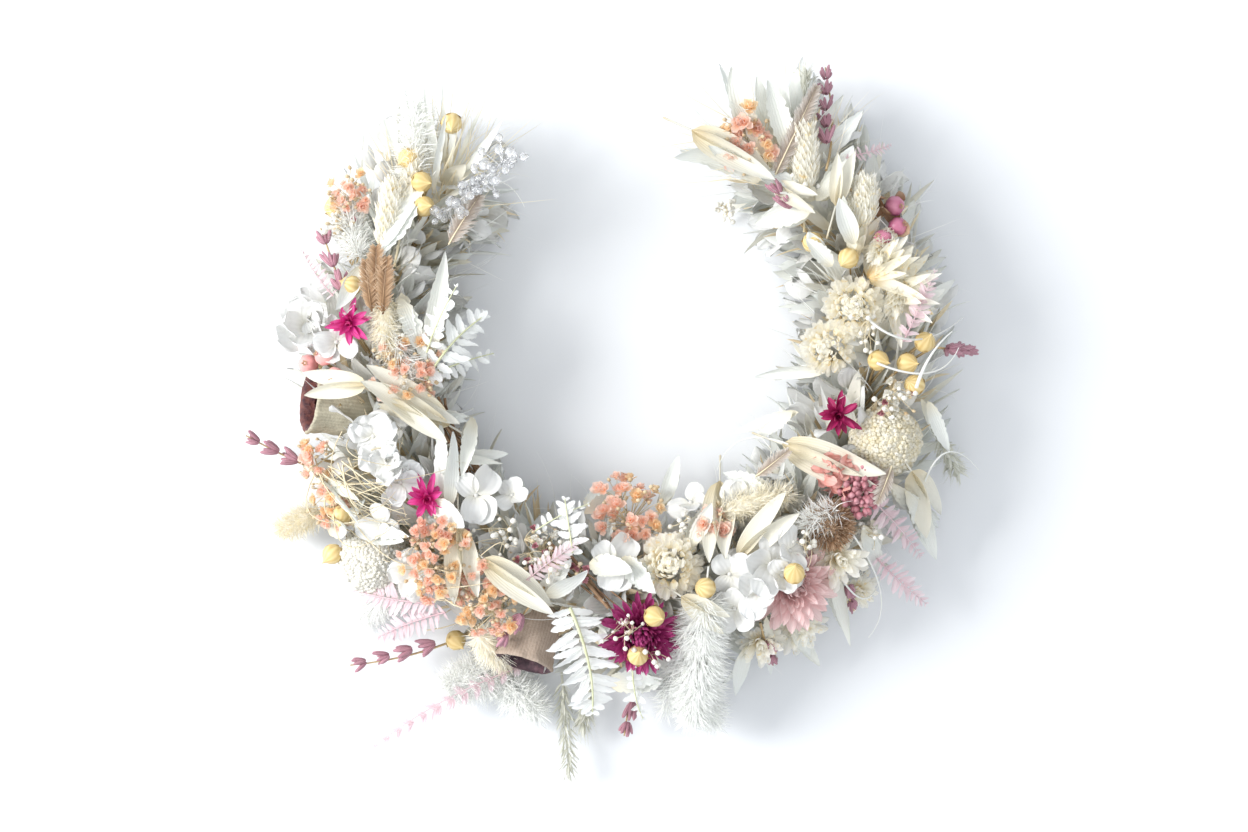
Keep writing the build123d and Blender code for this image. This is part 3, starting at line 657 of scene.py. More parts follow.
def flower_head(heap, m, count, length, width, core, low, high, rng, mat=0, outline=(1.1, 0.6), bend=0.4,
                cup=0.35, rows=6, columns=5, shrink=0.45, teeth=0, stray=0.12, sink=0.5):
    """Petals in a spiral, from flat ones outside to upright ones in the middle."""
    for n in range(count):
        share = (n + 0.5) / count
        rise = low + (high - low) * share + rng.uniform(-stray, stray)
        way, face = raised(n * GOLDEN + rng.uniform(-stray, stray), rise)
        size = (1 - shrink * share) * rng.uniform(0.88, 1.1)
        petal = blade(length * size, width * size, outline, rows, columns, bend=bend * (0.4 + share),
                      cup=cup, twist=rng.uniform(-0.3, 0.3), teeth=teeth)
        heap.add(petal, m @ pose(way * core * (1 - sink * share), way, face), rng.random(), mat)


def floret(rng, radius, petals):
    """A gypsophila floret: a ruffled ball of tiny petals."""
    parts = []
    for n in range(petals):
        way, face = raised(n * GOLDEN, 0.02 + 1.35 * (n + 0.5) / petals)
        petal = blade(radius * rng.uniform(0.8, 1.15), radius * 0.85, (1.5, 0.45), 5, 4,
                      bend=0.4, cup=0.3, ruffle=0.1, phase=rng.uniform(0, 6))
        parts.append(petal.moved(pose(way * 0.1 * radius, way, face)))
    return joined(parts)


def bud(length, radius, sides=8):
    """A ribbed bud along +Z."""
    return lathe([(0.02, 0), (0.6 * radius, 0.08 * length), (radius, 0.35 * length),
                  (0.92 * radius, 0.7 * length), (0.5 * radius, 0.93 * length), (0.02, length)],
                 sides, ribs=4, rib_depth=0.12)


def spray(heap, centre, normal, radius, rng, templates, blooms, buds, size, dry):
    """A gypsophila spray: blooms over a dome, and small dry buds, on stalks from a few forks."""
    foot = centre - normal * radius * 1.5 + rng.uniform(-2, 2, 3)
    forks = []
    for _ in range(max(4, blooms // 4)):
        forks.append(centre + rng.uniform(-0.55, 0.55, 3) * radius - normal * radius * 0.45)
        heap.add(tube(bow(foot, forks[-1], rng.uniform(-1, 1, 3), 4), 0.34, 4), rnd=rng.random(), mat=1)
    for n in range(blooms + buds):
        way = rng.normal(size=3)
        way = unit(way - normal * min(0.0, float(np.dot(way, normal))) * 1.6)
        reach = radius * rng.uniform(0.35, 1.0)
        spot = centre + (way - normal * np.dot(way, normal) * 0.4) * reach
        fork = min(forks, key=lambda p: np.linalg.norm(p - spot))
        heap.add(tube(bow(fork, spot, rng.uniform(-0.8, 0.8, 3), 4), [0.27, 0.2, 0.17, 0.14], 3),
                 rnd=rng.random(), mat=1)
        face = unit(way + 1.2 * normal + rng.normal(size=3) * 0.3)
        if n < blooms:
            heap.add(templates[rng.integers(len(templates))],
                     facing(spot, face, rng.uniform(0, 6), size * rng.uniform(0.75, 1.15)), rng.random(),
                     3 if rng.random() < dry else 0)
        else:
            dry_bud = bud(rng.uniform(1.5, 2.4), rng.uniform(0.6, 0.95), 6)
            heap.add(dry_bud, facing(spot, face), rng.random(), 2)


def pearls(heap, centre, normal, radius, count, rng):
    """A wiry sprig of tiny white pearl-like gypsophila buds."""
    knob = lathe([(0.02, -0.9), (0.6, -0.7), (0.95, -0.1), (0.85, 0.45), (0.45, 0.85), (0.02, 0.95)], 8,
                 ribs=4, rib_depth=0.06)
    last = centre - normal * radius
    for _ in range(count):
        spot = centre + rng.normal(size=3) * radius * 0.45 + normal * rng.uniform(-1, 2)
        heap.add(tube(bow(last, spot, rng.uniform(-1.2, 1.2, 3), 5), 0.16, 3), rnd=rng.random(), mat=1)
        heap.add(knob, facing(spot, unit(normal + rng.normal(size=3) * 0.6), 0, rng.uniform(0.7, 1.25)),
                 rng.random(), 0)
        if rng.random() < 0.35:
            last = spot * 0.6 + last * 0.4


def lavender_spike(heap, rng, start, end):
    """A spike of ribbed buds in whorls, on a curved stalk that fades into the mound."""
    base, tip = on_mound(*start, 5.0), on_mound(*end, 9.0)
    length, along, side, over = axes(base, tip)
    line = bow(base - along * 12 - UP * 6, tip, rng.uniform(-1, 1, 3) * 0.06 * length, 9)
    heap.add(tube(line, np.linspace(0.55, 0.3, 9), 5), rnd=rng.random(), mat=1)
    whorls = max(2, round(length / 9.2))
    for n in range(whorls):
        share = (n + 0.3) / whorls
        spot = base + (tip - base) * share
        size = 1.0 - 0.3 * share
        for k in range(8):
            turn = k * math.pi / 4 + n * 0.5 + rng.uniform(-0.3, 0.3)
            out = over * math.sin(turn) - side * math.cos(turn)
            way = unit(out * rng.uniform(0.12, 0.6) + along)
            heap.add(bud(rng.uniform(5.6, 8.6) * size, rng.uniform(0.75, 1.1) * size),
                     facing(spot + out * 0.5, way, turn), rng.random())


def frond(heap, rng, base, tip, width, pairs, rib, teeth, curl, slim, lean, crush):
    """A fern: a midrib with toothed leaflets, longest below the middle; crush bends them about."""
    length, along, side, over = axes(base, tip)
    line = bow(base, tip, over * length * 0.06 + side * length * rng.uniform(-0.06, 0.06), 12)
    heap.add(tube(line, np.linspace(0.5, 0.15, 12) * width / 26 + 0.1, 4), rnd=rng.random(), mat=rib)
    for n in range(pairs):
        share = (n + 0.6) / pairs
        straight = line[0] + (line[-1] - line[0]) * share
        spot = line[min(11, int(share * 11.99))] * 0.5 + straight * 0.5
        reach = width / 2 * math.sin(math.pi * (0.16 + 0.8 * share)) ** 0.75
        wide = min(reach * slim * 1.5, length / pairs * 1.2)
        for way in (-1, 1):
            angle = lean - 0.45 * share + rng.normal() * crush
            out = along * math.cos(angle) + side * way * math.sin(angle)
            leaflet = blade(reach * rng.uniform(0.95 - crush, 1.08), wide, (0.7, 0.5), 4 * teeth + 1, 5,
                            bend=-curl * rng.uniform(0.2, 1.2) - crush * rng.normal(),
                            cup=rng.uniform(0.0, 0.5), twist=rng.normal() * (0.15 + crush), teeth=teeth)
            heap.add(leaflet, pose(spot, out, over + out * 0.1), rng.random())


def white_frond(heap, rng, start, end, width, crush, rise):
    """A white fern frond, crumpled by crush, with a yellow-green rib."""
    pairs = max(6, int(np.hypot(start[0] - end[0], start[1] - end[1]) / 2.5))
    frond(heap, rng, on_mound(*start, 9.0), on_mound(*end, rise), width, pairs, rib=1, teeth=4, curl=0.25,
          slim=0.34, lean=1.35, crush=crush)


def pink_frond(heap, rng, start, end, width):
    """A fine pink fern frond."""
    pairs = max(9, int(np.hypot(start[0] - end[0], start[1] - end[1]) / 1.7))
    frond(heap, rng, on_mound(*start, 6.0), on_mound(*end, 13.0), width, pairs, rib=0, teeth=3, curl=0.4,
          slim=0.22, lean=1.15, crush=0.16)


def hairy_head(heap, rng, base, tip, width, count, hair, lean, fuzz, wide, core=True):
    """A soft grass head: fine hairs that stand out and forward from a spindle."""
    length, along, side, over = axes(base, tip)
    if core:
        profile = [(0.02, 0), (0.22 * width, 0.08 * length), (0.32 * width, 0.35 * length),
                   (0.25 * width, 0.7 * length), (0.02, length * 0.97)]
        heap.add(lathe(profile, 12), facing(base, along), 0.6)
    heap.add(tube(bow(base - along * 14 - UP * 5, tip, np.zeros(3), 5), 0.35, 4))
    for n in range(count):
        share = (n + rng.random()) / count
        turn = n * GOLDEN
        out = side * math.cos(turn) + over * math.sin(turn)
        body = 0.5 * width * (4 * share**0.8 * (1 - share**0.8) + 0.02) ** 0.55
        body *= 1 + 0.16 * math.sin(11 * share + 2 * turn % 3) + 0.1 * math.sin(29 * share)
        spot = base + (tip - base) * share + out * body * 0.55
        tilt = lean * rng.uniform(0.6, 1.3)
        way = unit(out * (1 - tilt) + along * tilt + rng.normal(size=3) * fuzz)
        strand = blade(hair * rng.uniform(0.5, 1.2), wide, (0.6, 0.7), 4, 2, bend=rng.uniform(-1.2, 1.4))
        heap.add(strand, pose(spot, way, out), rng.random())


def scaled_head(heap, rng, base, tip, width, count, awn, scale=(5.0, 2.4), loose=0.0):
    """A grass head of overlapping pointed scales, each with a fine awn."""
    _, along, side, over = axes(base, tip)
    heap.add(tube(bow(base - along * 14 - UP * 5, tip, np.zeros(3), 5), 0.5, 5))
    for n in range(count):
        share = (n + 0.5) / count
        turn = n * GOLDEN
        out = side * math.cos(turn) + over * math.sin(turn)
        body = 0.5 * width * (4 * share**0.75 * (1 - share**0.75) + 0.02) ** 0.6
        spot = base + (tip - base) * share * 0.92 + out * body * 0.45
        way = unit(out * rng.uniform(0.25, 0.5) + along + rng.normal(size=3) * loose)
        heap.add(blade(scale[0] * rng.uniform(0.8, 1.2), scale[1], (0.9, 0.7), 6, 4, bend=0.3, cup=0.8),
                 pose(spot, way, out), rng.random())
        heap.add(blade(awn * rng.uniform(0.5, 1.1), 0.16, (0.5, 0.8), 4, 2, bend=rng.uniform(-0.3, 0.3)),
                 pose(spot + way * 3, unit(way + rng.normal(size=3) * 0.15), out), rng.random())


def feather(heap, rng, start, end, width, brown=False):
    """A feather: a quill with two rows of barbs, brown all through or grey on a pale quill."""
    base, tip = on_mound(*start, 6), on_mound(*end, 11)
    length, along, side, over = axes(base, tip)
    line = bow(base, tip, over * 0.12 * length, 12)
    heap.add(tube(line, np.linspace(0.4, 0.08, 12), 4), rnd=0.2, mat=0 if brown else 1)
    count = int(length * 5)
    for n in range(count):
        share = 0.04 + 0.94 * n / count
        spot = line[0] * (1 - share) + line[-1] * share + over * 0.48 * length * share * (1 - share)
        reach = 0.62 * width * math.sin(math.pi * min(0.98, share * 0.82 + 0.14)) ** 0.6
        for way in (-1, 1):
            out = unit(along * rng.uniform(0.7, 1.5) + side * way + over * rng.uniform(-0.15, 0.3))
            barb = blade(reach * rng.uniform(0.75, 1.25), 0.42, (0.6, 0.4), 6, 2, bend=rng.uniform(-0.7, 0.3))
            heap.add(barb, pose(spot, out, over), rng.random(), 0 if brown else 2)


def pod(half):
    """A flax capsule of radius half: ribbed, with a beak and five sepals under it."""
    profile = [(0.02 / half, -1.0), (0.55, -0.86), (0.9, -0.45), (1.0, 0.05), (0.88, 0.5), (0.55, 0.86),
               (0.22, 1.08), (0.08, 1.3), (0.01 / half, 1.5)]
    parts = [lathe([(r * half, z * half) for r, z in profile], 40, ribs=10, rib_depth=0.010)]
    for n in range(5):
        out = flat(n * 2 * math.pi / 5 + 0.3)
        sepal = blade(1.25 * half, 0.8 * half, (0.8, 0.7), 6, 4, bend=0.6, cup=0.3)
        parts.append(sepal.moved(pose(out * 0.35 * half - UP * half, unit(out * 0.9 + UP * 0.6),
                                      unit(UP - out))))
    return joined(parts)


def husk(heap, rng, start, end):
    """An oat spikelet: two boat-shaped papery bracts that part at the tip."""
    base, tip = on_mound(*start, 6.0), on_mound(*end, 10.0)
    along = tip - base
    length = np.linalg.norm(along)
    side = unit(np.cross(UP, along))
    for way in (-1, 1):
        bract = blade(length * rng.uniform(0.9, 1.05), 0.25 * length, (0.75, 0.75), 14, 9,
                      bend=rng.uniform(-0.3, 0.5), cup=rng.uniform(0.5, 1.1),
                      twist=rng.uniform(-0.2, 0.9) * way, ruffle=0.03, phase=rng.uniform(0, 6), thick=0.15)
        out = unit(along + side * way * length * rng.uniform(0.06, 0.18))
        heap.add(bract, pose(base, out, UP + side * way * 0.5), rng.random())
    heap.add(tube(bow(base - unit(along) * 12 - UP * 6, base, np.zeros(3), 4), 0.4, 4))


def ball(heap, rng, x, y, lift, radius, count, knob):
    """A globe of packed florets: craspedia or a drumstick head."""
    centre = on_mound(x, y, lift)
    heap.add(lathe([(math.sin(a) * 0.95 * radius + 0.01, -math.cos(a) * 0.95 * radius)
                    for a in np.linspace(0, math.pi, 14)], 28), facing(centre, UP), 1.0)
    cup = lathe([(0.24, 0.95), (0.46, 1.1), (0.78, 0.8), (1.02, 0.2), (0.85, -0.4)], 10, ribs=5,
                rib_depth=0.2)
    both = joined([cup, lathe([(0.02, 0.85), (0.22, 0.78), (0.30, 0.4)], 6)])
    for n in range(count):
        z = 1 - 2 * (n + 0.5) / count
        turn = n * GOLDEN
        way = math.sqrt(1 - z * z) * flat(turn) + z * UP
        size = knob * rng.uniform(0.75, 1.25)
        spot = centre + way * radius * rng.uniform(0.90, 0.98)
        heap.add(both, facing(spot, way + rng.normal(size=3) * 0.22, turn, size), rng.random())


def gumnut(heap, rng, mouth, way, length, radius):
    """A woody capsule, open at the mouth: cracked bark outside, red-brown rim, floor and valves."""
    def cracks(turn, height):
        return (0.035 * np.sin(9 * turn + 0.6 * height) * np.sin(0.35 * height + 2 * turn)
                + 0.018 * np.sin(23 * turn - 0.9 * height))
    bark = [(0.02 / radius, 0), (0.35, 0.02), (0.62, 0.07), (0.85, 0.17), (0.95, 0.30), (1.0, 0.45),
            (1.0, 0.6), (0.97, 0.75), (0.98, 0.88), (1.03, 0.95), (1.03, 0.985), (0.98, 1.0)]
    inside = [(0.98, 1.0), (0.93, 0.995), (0.86, 0.98), (0.80, 0.95), (0.76, 0.85), (0.70, 0.72),
              (0.4, 0.68), (0.02 / radius, 0.66)]
    m = facing(mouth - way * length, way)
    for mat, profile in enumerate((bark, inside)):
        wall = lathe([(r * radius, z * length) for r, z in profile], 72, warp=cracks)
        heap.add(wall, m, 0.4 + 0.1 * mat, mat)
    for n in range(5):
        out = flat(n * 2 * math.pi / 5)
        valve = blade(0.72 * radius, 0.62 * radius, (0.6, 0.6), 7, 5, bend=0.3, cup=0.3, thick=0.7)
        spot = out * 0.74 * radius + UP * 0.72 * length
        heap.add(valve, m @ pose(spot, unit(-out + UP * 0.45), UP + out), rng.random(), 1)


def ring_spot(angle):
    """The wire's place at an angle, the outward way there and the way along it."""
    a = math.radians(angle)
    out = np.array([math.cos(a), math.sin(a), 0.0])
    return out * RING_R + UP * CORE_Z, out, np.array([-math.sin(a), math.cos(a), 0.0])


def to_ends(angle):
    """Which way along the ring the foliage points: towards the nearer end."""
    return -1.0 if angle < 268 else 1.0


# ---- the band --------------------------------------------------------------------------------
def tape_wrap():
    """Crepe tape wound round the stems in overlapping turns, with gathered ends."""
    stations, sides = 900, 20
    angle = np.radians(np.linspace(RING_START, RING_START + RING_SWEEP, stations))[:, None]
    turn = np.linspace(0, 2 * math.pi, sides, endpoint=False)[None, :]
    winding = (angle * RING_R / TAPE_PITCH + turn / (2 * math.pi)) % 1.0
    radius = TAPE_R - 0.45 + 0.4 * winding + 0.06 * np.sin(31 * turn + 40 * angle)
    ends = np.minimum(1.0, np.minimum(angle - angle[0], angle[-1] - angle) / 0.02) ** 0.5
    radius = radius * (0.35 + 0.65 * ends)
    out = RING_R + radius * np.cos(turn)
    co = np.stack([out * np.cos(angle), out * np.sin(angle), CORE_Z + radius * np.sin(turn)], -1)
    heap = Heap()
    heap.add(Patch(co, [grid_faces(stations, sides, wrap=True)], winding, turn / math.pi - 1 + 0 * angle))
    heap.make("tape_winding", ["tape"], ["tape_wrap"])


def foliage(name, seed, count, span=WHOLE_RING, nodes=(), material="leaf",
            grow=ruscus_leaf, reach=(0.72, 1.04), length=(24, 36), width=(7.0, 10.5), lean=(0.5, 1.1)):
    """Leaves that start at the tape and come out all round the mound over a stretch of the ring."""
    rng = np.random.default_rng(seed)
    heap = Heap()
    for n in range(count):
        angle = span[0] + (span[1] - span[0]) * (n + rng.random()) / count
        spot, out, ahead = ring_spot(angle)
        around = math.radians(rng.uniform(-12, 192))
        cross = out * math.cos(around) + UP * max(-0.02, math.sin(around))
        size = rng.uniform(*reach)
        inward = 0.80 if math.cos(around) < 0 else 1.0
        tip = (spot + UP * TAPE_R + out * math.cos(around) * MOUND_HALF * size * inward
               + UP * max(-0.05, math.sin(around)) * MOUND_RISE * size)
        long = rng.uniform(*length)
        way = unit(cross + ahead * to_ends(angle) * rng.uniform(*lean) + rng.normal(size=3) * 0.12)
        base = tip - way * long
        for end in (base, tip):
            end[2] = max(2.0, end[2])
        wide = rng.uniform(*width)
        leaf = grow(rng, np.linalg.norm(tip - base), wide)
        face = cross + rng.normal(size=3) * 0.35
        heap.add(leaf, pose(base, tip - base, face), rng.random() ** 2)
    heap.make(name, [material], nodes)


# ---- the pieces ------------------------------------------------------------------------------
def curled_petal(rng, length, width):
    """A small crumpled bract."""
    return blade(length, width, (1.1, 0.5), 9, 7, bend=rng.uniform(-1.2, 1.6), cup=rng.uniform(-0.3, 0.7),
                 twist=rng.uniform(-0.8, 0.8), ruffle=0.07, phase=rng.uniform(0, 6), thick=0.14)


def fine_blade(rng, length, width):
    """A narrow dry grass blade."""
    return blade(length, width, (0.7, 0.8), 10, 4, bend=rng.uniform(-0.7, 0.9), cup=0.7,
                 twist=rng.uniform(-1.2, 1.2))


def top_leaf(heap, rng, x, y, tip_x, tip_y, width):
    """Two large ragged bracts, one on the other, that lie over the flowers."""
    for shift in (0, 1):
        base = on_mound(x + shift * rng.uniform(-3, 3), y + shift * rng.uniform(-3, 3), 4 - 2 * shift)
        tip = on_mound(tip_x + shift * rng.uniform(-5, 5), tip_y + shift * rng.uniform(-5, 5), 8 - 4 * shift)
        long = np.linalg.norm(tip - base) * rng.uniform(0.95, 1.15)
        leaf = blade(long, width * rng.uniform(0.75, 1.15), (0.8, 0.8), 26, 9, bend=rng.uniform(-0.3, 0.6),
                     cup=rng.uniform(0.1, 0.6), twist=rng.uniform(-0.6, 0.6), ruffle=rng.uniform(0.02, 0.07),
                     phase=rng.uniform(0, 6), thick=0.16, ragged=rng.uniform(0.0, 0.4))
        face = mound_normal(x, y) + rng.normal(size=3) * 0.3
        heap.add(leaf, pose(base, tip - base, face), rng.random() ** 2)


def stalks():
    """Stalks of the big heads, bowed from the tape to each flower."""
    rng = np.random.default_rng(5)
    heads = list(BIG_HEADS)
    for side in SIDES:
        heads += [(x, y, -2 + sum(lift)) for x, y, *lift in FLAX_PODS[side]]
        heads += [(x, y, -3) for x, y in BERRIES.get(side, [])]
        heads += [(x, y, -0.7 * r) for x, y, r in PEACH_GYPSOPHILA[side]]
    heap = Heap()
    for x, y, lift in heads:
        angle = math.degrees(math.atan2(y, x)) % 360
        angle += 360 if angle < 90 else 0
        angle = min(max(angle - 14 * to_ends(angle), RING_START + 1), RING_START + RING_SWEEP - 1)
        foot = ring_spot(angle)[0] + UP * 2
        top = on_mound(x, y, lift)
        for k in range(2):
            end = top if k == 0 else top - UP * 6 + rng.uniform(-4, 4, 3)
            sag = UP * rng.uniform(-3, 2) + rng.uniform(-1.5, 1.5, 3)
            line = bow(foot + rng.uniform(-1, 1, 3), end, sag, 9)
            heap.add(tube(line, np.linspace(0.75, 0.5, 9), 6), rnd=rng.random())
    heap.make("flower_stalks", ["stem"], ["flower_stalks_" + side for side in SIDES])


def visible_stems():
    """Brown stems inside the left arm and across the base, and thin straw ones at lower left."""
    rng = np.random.default_rng(6)
    heap = Heap()
    for n in range(14):
        start = on_mound(-72 + rng.uniform(-5, 5), -22 + rng.uniform(-4, 4), rng.uniform(-9, -2))
        end = on_mound(-56 + rng.uniform(-5, 6), -54 + rng.uniform(-5, 4), rng.uniform(-10, -3))
        heap.add(tube(bow(start, end, rng.uniform(-2, 2, 3), 8), rng.uniform(0.3, 0.6), 5), rnd=rng.random())
    for n in range(5):
        start = on_mound(-27 + rng.uniform(-4, 4), -76 + rng.uniform(-3, 3), -1 + rng.uniform(-2, 1))
        end = on_mound(-3 + rng.uniform(-5, 5), -98 + rng.uniform(-3, 3), -2 + rng.uniform(-2, 1))
        thick = 1.3 if n == 0 else rng.uniform(0.4, 0.8)
        heap.add(tube(bow(start, end, rng.uniform(-2, 2, 3), 9), np.linspace(thick, 0.5 * thick, 9), 7),
                 rnd=rng.random())
    for x, y, end_x, end_y, count in STRAW_STEMS:
        for _ in range(count):
            start = on_mound(x + rng.normal() * 5, y + rng.normal() * 6, rng.uniform(0, 7))
            end = on_mound(end_x + rng.normal() * 6, end_y + rng.normal() * 6, rng.uniform(1, 7))
            line = bow(start, end, rng.normal(size=3) * 6, 10)
            thick = np.linspace(rng.uniform(0.18, 0.42), 0.1, 10)
            heap.add(tube(line, thick, 4), rnd=rng.random() ** 2, mat=1)
    heap.make("brown_twigs", ["twig", "pale_stem"], ["brown_twig"])


def flax(side):
    """The golden flax capsules of one side."""
    rng = np.random.default_rng(21)
    heap = Heap()
    clear = 4.0 if side == "left" else 2.0
    for x, y, *lift in FLAX_PODS[side]:
        lean = flat(rng.uniform(0, 2 * math.pi)) * rng.uniform(0.5, 1.4)
        m = facing(on_mound(x, y, clear + sum(lift)), unit(mound_normal(x, y) + lean), rng.uniform(0, 6))
        heap.add(pod(POD_R), m, rng.random())
    heap.make("flax_" + side, ["flax"], ["flax_pods_" + side])


def berry(heap, rng, x, y):
    """A wrinkled pepper berry with its calyx."""
    def wrinkles(turn, height):
        return 0.04 * np.sin(3 * turn + height) + 0.03 * np.sin(7 * turn - 1.3 * height)
    face = unit(mound_normal(x, y) + rng.normal(size=3) * 0.5)
    m = facing(on_mound(x, y, 1.0), face, rng.uniform(0, 6))
    profile = [(BERRY_R * math.sin(a) + 0.01, -BERRY_R * math.cos(a)) for a in np.linspace(0, math.pi, 14)]
    heap.add(lathe(profile, 24, warp=wrinkles), m, rng.random())
    for k in range(5):
        heap.add(blade(1.5, 0.9, (0.8, 0.7), 4, 3, bend=0.5),
                 m @ pose(UP * 3.5, flat(k * 1.257) + UP * 0.4, UP), 0.5, 1)


def berry_cluster(side, skin, x, y, depth, material, slot):
    """Pepper berries, and papery scraps around x, y beside them."""
    rng = np.random.default_rng(23)
    heap = Heap()
    for place in BERRIES[side]:
        berry(heap, rng, *place)
    heap.make("pepper_berries_" + side, [skin, "brown"], ["pepper_berries_" + side])
    scrap = Heap()
    for _ in range(12):
        spot = on_mound(x + rng.uniform(-6, 6), y + rng.uniform(-6, depth), -2)
        way = unit(rng.normal(size=3) + UP * 0.5)
        bract = blade(rng.uniform(5, 9), rng.uniform(4, 7), (1.0, 0.5), 8, 7, bend=rng.uniform(-1.4, 1.4),
                      cup=0.5, ruffle=0.08, phase=rng.uniform(0, 6), thick=0.15)
        scrap.add(bract, pose(spot, way, UP + rng.normal(size=3) * 0.3), rng.random())
    scrap.make("crumpled_bract_" + side, [material])


def hydrangea(heap, rng, x, y, radius, crumple, lift=0):
    """A hydrangea floret: four petals, or eight when it is crumpled, on a little stalk."""
    m = facing(on_mound(x, y, 2.5 + lift), unit(mound_normal(x, y) + rng.normal(size=3) * 0.25),
               rng.uniform(0, 6))
    for n in range(4 if crumple < 0.1 else 8):
        out = flat(n * math.pi / 2 + rng.uniform(-0.45, 0.45))
        size = radius * rng.uniform(0.75, 1.15)
        petal = blade(1.3 * size, 1.25 * size, (1.15, 0.42), 17, 13, bend=rng.uniform(-0.9, 1.1),
                      cup=rng.uniform(-0.2, 0.55), twist=rng.uniform(-0.4, 0.4), ruffle=crumple,
                      phase=rng.uniform(0, 6), thick=0.14)
        heap.add(petal, m @ pose(out * 0.6, out + UP * rng.uniform(-0.2, 1.0), UP), rng.random())
    heap.add(lathe([(0.01, 0.8), (0.7, 0.5), (0.9, 0), (0.2, -1.0)], 8), m)
    heap.add(tube(bow([0, 0, 0], [1, 1, -14], [1, 0, 0], 5), 0.35, 5), m)


def gypsophila():
    """Every gypsophila spray: large peach blooms, small cream ones and wiry pearl buds."""
    rng = np.random.default_rng(61)
    templates = [floret(rng, 2.7, k) for k in (10, 12, 14)]
    for side, places in PEACH_GYPSOPHILA.items():
        dense, size, dry = (0.22, 0.95, 0.35) if side == "left" else (0.15, 1.2, 0.1)
        heap = Heap()
        for x, y, radius in places:
            blooms = max(6, int(dense * radius**2))
            spray(heap, on_mound(x, y, 3), mound_normal(x, y), radius * 1.05, rng, templates, blooms,
                  blooms, size, dry)
        heap.make("gypsophila_peach_" + side, ["peach", "pale_stem", "straw", "tan_floret"],
                  ["peach_gypsophila_" + side])
    heap = Heap()
    for x, y, radius in WHITE_GYPSOPHILA:
        spray(heap, on_mound(x, y, 1), mound_normal(x, y), radius, rng, templates, int(0.16 * radius**2) + 4,
              10, 0.55, 0.3)
    for x, y, radius, lift in PEARLS:
        pearls(heap, on_mound(x, y, lift), mound_normal(x, y), radius, 20, rng)
    heap.make("gypsophila_white", ["white_floret", "pale_stem", "straw", "rose"],
              ["white_gypsophila"])


def strawflowers(rng):
    """The magenta strawflower and the pink one."""
    heap = Heap()
    m = seat(5, -107, spin=0.4)
    flower_head(heap, m, 320, 12.4, 2.2, 3.8, -0.3, 1.4, rng, outline=(1.3, 0.45), bend=1.2, cup=0.8,
                stray=0.26, rows=9)
    flower_head(heap, m, 60, 4.5, 1.2, 1.2, 0.7, 1.5, rng, mat=1)
    heap.make("strawflower_magenta_head", ["magenta", "brown"], ["strawflower_magenta"])
    heap = Heap()
    m = seat(61, -88, spin=0.2)
    flower_head(heap, m, 120, 16.5, 4.6, 3.0, -0.25, 1.3, rng, outline=(1.15, 0.55), bend=0.8, cup=0.6,
                stray=0.16, rows=10, shrink=0.5)
    flower_head(heap, m, 50, 4.5, 1.4, 1.0, 0.6, 1.5, rng, mat=1)
    heap.make("strawflower_pink_head", ["blush", "cream_bract"], ["strawflower_pink"])


def pompons(rng):
    """The cream pompon of the base, and the two on the right with loose bracts over them."""
    packed = dict(bend=0.9, cup=0.3, rows=8, teeth=2.5, shrink=0.15, sink=0.0)
    heap = Heap()
    flower_head(heap, seat(16, -81), 230, 6.4, 2.9, 6.6, -0.5, 1.55, rng, outline=(1.7, 0.35), stray=0.4,
                **packed)
    heap.make("cream_pompon_head_base", ["cream_bract"], ["cream_pompon_base"])
    heap = Heap()
    for x, y, radius in ((84, 15, 11), (75, 0, 10)):
        flower_head(heap, seat(x, y), 240, 0.5 * radius, 0.22 * radius, 0.62 * radius, -0.5, 1.55, rng,
                    outline=(1.6, 0.36), stray=0.6, **packed)
    for x, y, heading, count, long in ((90, 26, 35, 30, 24), (97, 20, 5, 24, 22), (84, 34, 60, 16, 20)):
        for _ in range(count):
            way = flat(math.radians(heading + rng.normal() * 26)) + UP * rng.uniform(-0.4, 0.9)
            bract = blade(long * rng.uniform(0.6, 1.05), rng.uniform(3.0, 4.8), (0.8, 0.7), 12, 7,
                          bend=rng.uniform(-0.5, 0.5), cup=0.7, thick=0.14)
            heap.add(bract, pose(on_mound(x, y, rng.uniform(-8, -2)), unit(way), UP), rng.random())
    heap.make("cream_pompon_heads_right", ["cream_bract"], ["cream_pompons_right"])


def scabiosa(rng):
    """The fluffy brown scabiosa head with pale rays."""
    heap = Heap()
    flower_head(heap, seat(75, -66), 1100, 4.6, 0.55, 6.6, -0.3, 1.5, rng, outline=(1.2, 0.5), bend=0.9,
                stray=0.9, rows=4, columns=3, shrink=0.15, sink=0.2)
    flower_head(heap, seat(75, -66), 20, 10.0, 3.0, 2.0, -0.2, 0.2, rng, mat=1, teeth=5, rows=16)
    heap.make("scabiosa_fluffy_head", ["brown", "cream_bract"], ["scabiosa_head"])


def daisies(rng):
    """The cream daisies with serrated petals."""
    heap = Heap()
    for x, y, radius, lift in ((78, -78, 12, 0), (50, -110, 10, -1), (64, -104, 12, -5), (88, -92, 9, -4)):
        flower_head(heap, seat(x, y, lift), 60, radius, 0.32 * radius, 1.2, 0.0, 1.35, rng, teeth=6, rows=19,
                    outline=(1.7, 0.4), bend=0.6, cup=0.6, stray=0.25)
        flower_head(heap, seat(x, y, lift), 40, 2.2, 0.8, 1.0, 0.5, 1.5, rng, mat=1)
    heap.make("serrated_daisy_heads", ["cream_bract", "tan"], ["serrated_daisy"])


